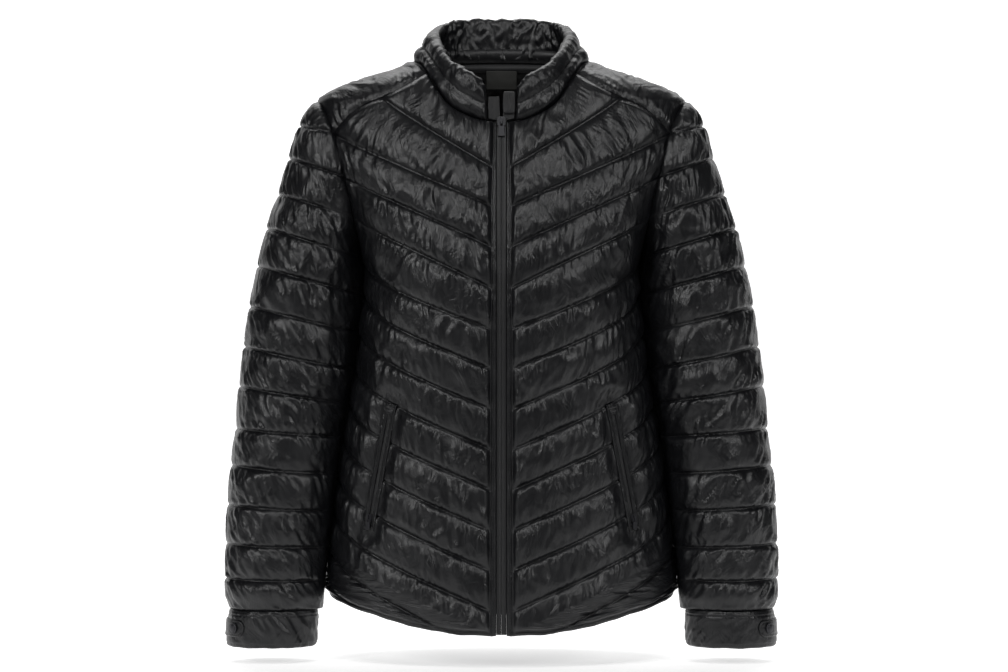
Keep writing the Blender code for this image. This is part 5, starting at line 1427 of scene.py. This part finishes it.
def build_guard():
    """Folded guard at the zip's top, with upright ribs and rounded corners."""
    low, high = (np.array(corner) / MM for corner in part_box("zip_guard"))
    middle = (low + high) / 2
    rows, columns = 60, 66
    a = np.linspace(-1, 1, columns)[None] + np.zeros((rows, 1))
    b = np.linspace(1, -1, rows)[:, None] + np.zeros((1, columns))
    wide, tall = (high[0] - low[0]) / 2 + GUARD_OVER, (high[2] - low[2]) / 2
    corner = 1 - 0.1 * (np.abs(a) ** 6 * np.abs(b) ** 6)
    x, z = middle[0] + a * wide * corner, middle[2] + b * tall * corner
    edge = np.minimum((1 - np.abs(a)) * wide, (1 - np.abs(b)) * tall)
    rib = 0.3 * (0.5 + 0.5 * np.sin(math.tau * a * wide / GUARD_RIB)) * ease((edge - 1.0) / 1.0)
    round_edge = 0.9 - 0.9 * np.sqrt(np.clip(edge / 1.3, 0, 1))
    y = low[1] + round_edge - rib + 0.35 + 0.3 * noise(x / 6, z / 9, 97)
    grids = np.stack([x, y, z], -1), np.stack([x, high[1] + 0 * x, z], -1)
    made = put_wall("zip_guard_cloth", "zip_guard", ["zip_cloth"], grids, np.stack([x, z], -1),
                    kept_rows(rows, 6))


def soften_metal(node, body):
    """Slider or pull: the frame's own solid, merged, its edges rounded by a bevel."""
    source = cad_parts[node].data
    co = np.zeros(len(source.vertices) * 3)
    source.vertices.foreach_get("co", co)
    co = co.reshape(-1, 3)
    _, first, back = np.unique(np.round(co / 2e-6).astype(np.int64), axis=0, return_index=True,
                               return_inverse=True)
    source.calc_loop_triangles()
    triangles = np.zeros(len(source.loop_triangles) * 3, np.int32)
    source.loop_triangles.foreach_get("vertices", triangles)
    faces = back.reshape(-1)[triangles].reshape(-1, 3)
    good = (faces != np.roll(faces, 1, axis=1)).all(axis=1)
    mesh = bpy.data.meshes.new(node + "_metal")
    mesh.from_pydata(co[first].tolist(), [], faces[good].tolist())
    mesh.polygons.foreach_set("use_smooth", np.zeros(len(mesh.polygons), bool))
    mesh.materials.append(material("zip_metal"))
    made = bpy.data.objects.new(node + "_metal", mesh)
    bpy.context.scene.collection.objects.link(made)
    round_off = made.modifiers.new("rounded", "BEVEL")
    round_off.width = METAL_BEVEL
    round_off.segments = 2
    round_off.limit_method = "ANGLE"
    round_off.angle_limit = math.radians(METAL_SHARP)
    dress(made, body, node)


# ---- pockets ----

def pocket_point(along, across, out=0.0):
    """Point of the welt: along is 0 at its top and 1 at its bottom, across in mm, out over the front."""
    along, across, out = np.broadcast_arrays(*(np.asarray(a, float) for a in (along, across, out)))
    (x0, z0), (x1, z1) = POCKET
    x, z = x0 + (x1 - x0) * along, z0 + (z1 - z0) * along
    share = share_at(x, z, -1)
    step = torso(np.minimum(share + 0.01, 1), z, -1) - torso(share - 0.01, z, -1)
    span = np.linalg.norm(step, axis=-1) / 0.02
    share = share + across * (z0 - z1) / POCKET_RUN / span
    z = z + across * (x1 - x0) / POCKET_RUN
    normal = torso_normal(share, z, -1)
    return torso(share, z, -1) + normal * out[..., None], normal


def build_pocket(word, sign):
    """Topstitched frame, a closed band round the slot: t runs round the rectangle, s from slot to edge."""
    half, slot = WELT_WIDTH / 2, WELT_SLOT / 2
    deep = half - slot
    t = np.linspace(0, 4, 401)[:-1]
    k, part = np.floor(t).astype(int), t - np.floor(t)
    ax = np.choose(k, [-1 + 0 * part, -1 + 2 * part, 1 + 0 * part, 1 - 2 * part])
    az = np.choose(k, [part, 1 + 0 * part, 1 - part, 0 * part])
    s = np.linspace(0, 1, 13)[:, None]
    x = ax[None] * (slot + deep * s)
    foot = WELT_FOOT * (1 - s)
    z = foot + az[None] * (1 - 2 * foot)
    run = (np.where((k == 0) | (k == 2), az * POCKET_RUN, 150 + ax * 8) + 200 * (k > 1))[None] + 0 * x
    depth = s * deep + 0 * x
    grooves = sum(1.2 * np.exp(-((depth - at) / 0.6) ** 2) for at in WELT_LINES)
    swell = np.sqrt(np.clip(np.minimum(depth, deep - depth) / 0.9, 0, 1))
    pucker = 1.5 * np.abs(noise(run / 4.2, depth / 9, 98 + sign)) * ease((depth - 3.4) / 1.2)
    high, normal = pocket_point(z, x, WELT_LIFT + 0.5 + (WELT_THICK - 0.7) * swell - grooves + pucker)
    low, _ = pocket_point(z, x, WELT_LIFT - 2.2)
    rings = np.concatenate([high, low[::-1]]).transpose(1, 0, 2)
    ids = np.arange(rings.shape[0] * rings.shape[1]).reshape(rings.shape[:2])
    ids = np.pad(ids, ((0, 1), (0, 1)), mode="wrap")
    uv = np.stack([x, z * POCKET_RUN], -1)
    uv = np.concatenate([uv, uv[::-1]]).transpose(1, 0, 2)
    made = put_mesh(f"pocket_welt_{word}_cloth", flipped(rings.reshape(-1, 3), sign), grid_faces(ids),
                    uv.reshape(-1, 2), [material("shell_nylon")])
    dress(made, "jacket", f"pocket_welt_{word}")
    build_pocket_zip(word, sign)
    rows = [int(round(at / deep * (len(s) - 1))) for at in (WELT_LINES[0], WELT_LINES[-1])]
    return flipped_lines([(high[r], normal[r]) for r in rows], sign)


def build_pocket_zip(word, sign):
    """Zip in the pocket's slot: coil turns across the tape and a groove down its middle."""
    slot, rows = WELT_SLOT / 2 - 0.35, 620
    along = np.linspace(WELT_FOOT + 0.006, 1 - WELT_FOOT - 0.006, rows)[:, None]
    across = np.linspace(-1, 1, 15)[None] * slot
    turn = 0.5 + 0.5 * np.sin(math.tau * along * POCKET_RUN / POCKET_PITCH + (across > 0) * math.pi)
    coil = np.interp(np.abs(across), [0, 0.2, 0.6, 1.3, 1.7], [0, 0.6, 1, 0.6, 0.2])
    top, _ = pocket_point(along, across, WELT_LIFT - 0.4 + 0.55 * coil * (0.4 + 0.6 * turn))
    low, _ = pocket_point(along, across, WELT_LIFT - 1.4)
    uv = np.stack([across + 0 * along, along * POCKET_RUN + 0 * across], -1)
    made = put_wall(f"pocket_tape_{word}_coil", f"pocket_tape_{word}", ["zip_cloth"],
                    (top, low), uv, kept_rows(rows, 8), sign)


# ---- settings ----

class JacketSizes(bpy.types.PropertyGroup):
    """Sizes of the quilting and its detail, in mm."""
    base: FloatProperty(name="Filling", description="How far the stitch lines stand over the seams, in mm",
                        default=2.3, min=0, max=6)
    puff: FloatProperty(name="Puff", description="How far a channel stands over its stitch lines, in mm",
                        default=4.6, min=1, max=12)
    groove: FloatProperty(name="Groove", description="How deep the thread pulls into the cloth, in mm",
                          default=1.5, min=0, max=4)
    crease: FloatProperty(name="Creases", description="Height of the shell's creases, in mm", default=1.2,
                          min=0, max=3)
    pucker: FloatProperty(name="Puckers", description="Height of the folds at the stitch lines, in mm",
                          default=1.9, min=0, max=4)
    stitch: FloatProperty(name="Stitch", description="Length of a stitch, in mm", default=3.2, min=1, max=8)
    thread: FloatProperty(name="Thread", description="Half the thread's thickness, in mm", default=0.28,
                          min=0.05, max=1)
    rows: IntProperty(name="Rows", description="Rows of points across one channel", default=16,
                      min=8, max=24)
    columns: IntProperty(name="Columns", description="Points across one front", default=150,
                         min=40, max=220)
    sleeve_half: IntProperty(name="Sleeve columns", description="Points from the outer to the inner arm",
                             default=84, min=24, max=120)
    inner_step: IntProperty(name="Inner rows", description="The inside keeps one row of this many",
                            default=4, min=1, max=8)


class JacketColours(bpy.types.PropertyGroup):
    """Colours and finish of the cloth, trim and metal."""
    shell: FloatVectorProperty(name="Shell", description="Colour of the outer nylon", subtype="COLOR",
                               default=(0.0034, 0.0036, 0.0046), min=0, max=1)
    lining: FloatVectorProperty(name="Lining", description="Colour of the inside", subtype="COLOR",
                                default=(0.005, 0.0052, 0.0062), min=0, max=1)
    trim: FloatVectorProperty(name="Trim", description="Colour of tapes and thread", subtype="COLOR",
                              default=(0.0045, 0.0047, 0.0055), min=0, max=1)
    label: FloatVectorProperty(name="Label", description="Colour of the bare label", subtype="COLOR",
                               default=(0.006, 0.006, 0.0042), min=0, max=1)
    metal: FloatVectorProperty(name="Metal", description="Colour of sliders, pulls and snaps",
                               subtype="COLOR", default=(0.05, 0.05, 0.055), min=0, max=1)
    shell_rough: FloatProperty(name="Shell roughness", description="Roughness of the outer nylon",
                               subtype="FACTOR", default=0.37, min=0, max=1)


# ---- operators ----

SEWN = {"quilting": [], "topstitching": []}  # lines left by the pieces for the thread, points and normals


class JacketFronts(bpy.types.Operator):
    """Both quilted fronts"""
    bl_idname = "jacket.fronts"
    bl_label = "Fronts"

    def execute(self, context):
        sizes = context.scene.jacket_sizes
        SEWN["quilting"] += build_front("front_left", 1, sizes)
        SEWN["quilting"] += build_front("front_right", -1, sizes)
        return {"FINISHED"}


class JacketBack(bpy.types.Operator):
    """The quilted back"""
    bl_idname = "jacket.back"
    bl_label = "Back"

    def execute(self, context):
        SEWN["quilting"] += build_back_panel(context.scene.jacket_sizes)
        return {"FINISHED"}


class JacketYokes(bpy.types.Operator):
    """Plain shoulder pieces"""
    bl_idname = "jacket.yokes"
    bl_label = "Yokes"

    def execute(self, context):
        sizes = context.scene.jacket_sizes
        SEWN["topstitching"] += build_yoke("yoke_left", 1, sizes)
        SEWN["topstitching"] += build_yoke("yoke_right", -1, sizes)
        return {"FINISHED"}


class JacketSleeves(bpy.types.Operator):
    """Quilted sleeves with their cuffs, tabs and snaps"""
    bl_idname = "jacket.sleeves"
    bl_label = "Sleeves and cuffs"

    def execute(self, context):
        sizes = context.scene.jacket_sizes
        for word, sign in (("left", 1), ("right", -1)):
            SEWN["quilting"] += build_sleeve(f"sleeve_{word}", sign, sizes)
            SEWN["topstitching"] += build_cuff(f"cuff_{word}", sign, sizes)
            SEWN["topstitching"] += build_tab(f"cuff_tab_{word}", sign)
            build_snap(f"cuff_snap_{word}", sign)
        return {"FINISHED"}


class JacketCollar(bpy.types.Operator):
    """Collar, with the facing, tape and label inside the neck"""
    bl_idname = "jacket.collar"
    bl_label = "Collar"

    def execute(self, context):
        SEWN["topstitching"] += build_collar(context.scene.jacket_sizes)
        build_neck_finish()
        build_label()
        return {"FINISHED"}


class JacketZips(bpy.types.Operator):
    """Front zip with its guard, sliders and pulls"""
    bl_idname = "jacket.zips"
    bl_label = "Zips"

    def execute(self, context):
        build_zip_half("zip_tape_left", 1)
        build_zip_half("zip_tape_right", -1)
        build_guard()
        zips = ("zip", "pocket_left", "pocket_right")
        for zip_name in zips:
            soften_metal(zip_name + "_slider", "jacket")
        for zip_name in zips:
            soften_metal(zip_name + "_pull", zip_name + "_pull_tab")
        return {"FINISHED"}


class JacketPockets(bpy.types.Operator):
    """Slanting zipped pockets"""
    bl_idname = "jacket.pockets"
    bl_label = "Pockets"

    def execute(self, context):
        SEWN["topstitching"] += build_pocket("left", 1) + build_pocket("right", -1)
        return {"FINISHED"}


class JacketThread(bpy.types.Operator):
    """Stitches of the quilting and the topstitching"""
    bl_idname = "jacket.thread"
    bl_label = "Stitches"

    def execute(self, context):
        sizes = context.scene.jacket_sizes
        put_stitches("quilting_stitches", SEWN["quilting"], sizes)
        put_stitches("topstitching", SEWN["topstitching"], sizes)
        return {"FINISHED"}


class JacketStage(bpy.types.Operator):
    """Pale floor and backdrop, soft lights and the camera"""
    bl_idname = "jacket.stage"
    bl_label = "Stage"

    def execute(self, context):
        build_stage(context.scene)
        return {"FINISHED"}


def sweep_grid():
    """Floor that runs level, bends up by a quarter ellipse behind the jacket and ends upright."""
    bend = np.linspace(0, 1, 16)[1:] * math.pi / 2
    rise = FLOOR_END - FLOOR_BEND
    y = np.concatenate([np.linspace(FLOOR_NEAR, FLOOR_BEND, 20), FLOOR_BEND + rise * np.sin(bend),
                        np.full(8, FLOOR_END)])
    z = np.concatenate([np.zeros(20), rise * (1 - np.cos(bend)), np.linspace(1.7, FLOOR_TOP, 8)]) + FLOOR_Z
    x = np.linspace(-FLOOR_WIDE, FLOOR_WIDE, 13)[None]
    return np.stack([x + 0 * y[:, None], y[:, None] + 0 * x, z[:, None] + 0 * x], -1)


def paper_material():
    """Pale paper that glows from the jacket's place on, and darkens towards the camera with painted shade."""
    paper, tree, shader = blank_material("backdrop_paper")
    shader.inputs["Roughness"].default_value = 0.9
    shader.inputs["Specular IOR Level"].default_value = 0.1
    shader.inputs["Emission Strength"].default_value = PAPER_GLOW_STRENGTH
    place = tree.nodes.new("ShaderNodeSeparateXYZ")
    tree.links.new(object_coordinates(tree), place.inputs[0])
    tree.links.new(ramp(tree, place.outputs["Y"], *PAPER_GLOW), shader.inputs["Emission Color"])
    # Painted shade: the paper's base colour darkens towards the camera.
    tree.links.new(ramp(tree, place.outputs["Y"], *PAPER_SHADE), shader.inputs["Base Color"])
    return paper


def build_stage(scene):
    """Floor that sweeps up behind, lit by large soft lights; the camera looks level at the middle."""
    grid = sweep_grid()
    ids = np.arange(grid.shape[0] * grid.shape[1]).reshape(grid.shape[:2])
    mesh = bpy.data.meshes.new("backdrop")
    mesh.from_pydata(grid.reshape(-1, 3).tolist(), [], grid_faces(ids)[:, ::-1].tolist())
    mesh.polygons.foreach_set("use_smooth", np.ones(len(mesh.polygons), bool))
    mesh.materials.append(paper_material())
    floor = bpy.data.objects.new("backdrop", mesh)
    scene.collection.objects.link(floor)
    world = bpy.data.worlds.new("studio")
    world.use_nodes = True
    tree = world.node_tree
    sky = tree.nodes["Background"].inputs
    sky["Color"].default_value = (1, 1, 1, 1)
    seen = tree.nodes.new("ShaderNodeLightPath").outputs["Is Camera Ray"]
    tree.links.new(math_node(tree, "MULTIPLY_ADD", seen, WORLD_SEEN, WORLD_LIGHT), sky["Strength"])
    scene.world = world
    scene.view_settings.view_transform = "Standard"
    for name, place, size, power in LIGHTS:
        data = bpy.data.lights.new(name, "AREA")
        data.shape = "RECTANGLE"
        data.size, data.size_y = size
        data.energy = power
        lamp = bpy.data.objects.new(name, data)
        scene.collection.objects.link(lamp)
        lamp.location = place
        lamp.rotation_euler = (Vector(LIGHT_AIM) - Vector(place)).to_track_quat("-Z", "Y").to_euler()
    data = bpy.data.cameras.new("camera")
    data.lens, data.sensor_width, data.clip_end = CAMERA_LENS, 36.0, 30
    camera = bpy.data.objects.new("camera", data)
    scene.collection.objects.link(camera)
    camera.location = CAMERA_PLACE
    camera.rotation_euler = (math.pi / 2, 0, 0)
    scene.camera = camera


class JacketPanel(bpy.types.Panel):
    """Steps that build the jacket, and its settings"""
    bl_idname = "VIEW3D_PT_jacket"
    bl_label = "Jacket"
    bl_space_type = "VIEW_3D"
    bl_region_type = "UI"
    bl_category = "Jacket"

    def draw(self, context):
        layout = self.layout
        for group in (context.scene.jacket_sizes, context.scene.jacket_colours):
            box = layout.box()
            for name in group.bl_rna.properties.keys():
                if name not in ("rna_type", "name"):
                    box.prop(group, name)
        for step in STEPS:
            layout.operator(step.bl_idname)


STEPS = (JacketFronts, JacketBack, JacketYokes, JacketSleeves, JacketCollar, JacketZips, JacketPockets,
         JacketThread, JacketStage)
CLASSES = (JacketSizes, JacketColours) + STEPS + (JacketPanel,)


def register():
    """Makes the classes and the scene's settings known to Blender."""
    for cls in CLASSES:
        bpy.utils.register_class(cls)
    bpy.types.Scene.jacket_sizes = PointerProperty(type=JacketSizes)
    bpy.types.Scene.jacket_colours = PointerProperty(type=JacketColours)


def unregister():
    """Takes them out again, in the opposite order."""
    del bpy.types.Scene.jacket_colours
    del bpy.types.Scene.jacket_sizes
    for cls in reversed(CLASSES):
        bpy.utils.unregister_class(cls)


def main():
    """Builds every piece and the stage."""
    register()
    bpy.ops.jacket.fronts()
    bpy.ops.jacket.back()
    bpy.ops.jacket.yokes()
    bpy.ops.jacket.sleeves()
    bpy.ops.jacket.collar()
    bpy.ops.jacket.zips()
    bpy.ops.jacket.pockets()
    bpy.ops.jacket.thread()
    bpy.ops.jacket.stage()


if __name__ == "__main__":
    main()
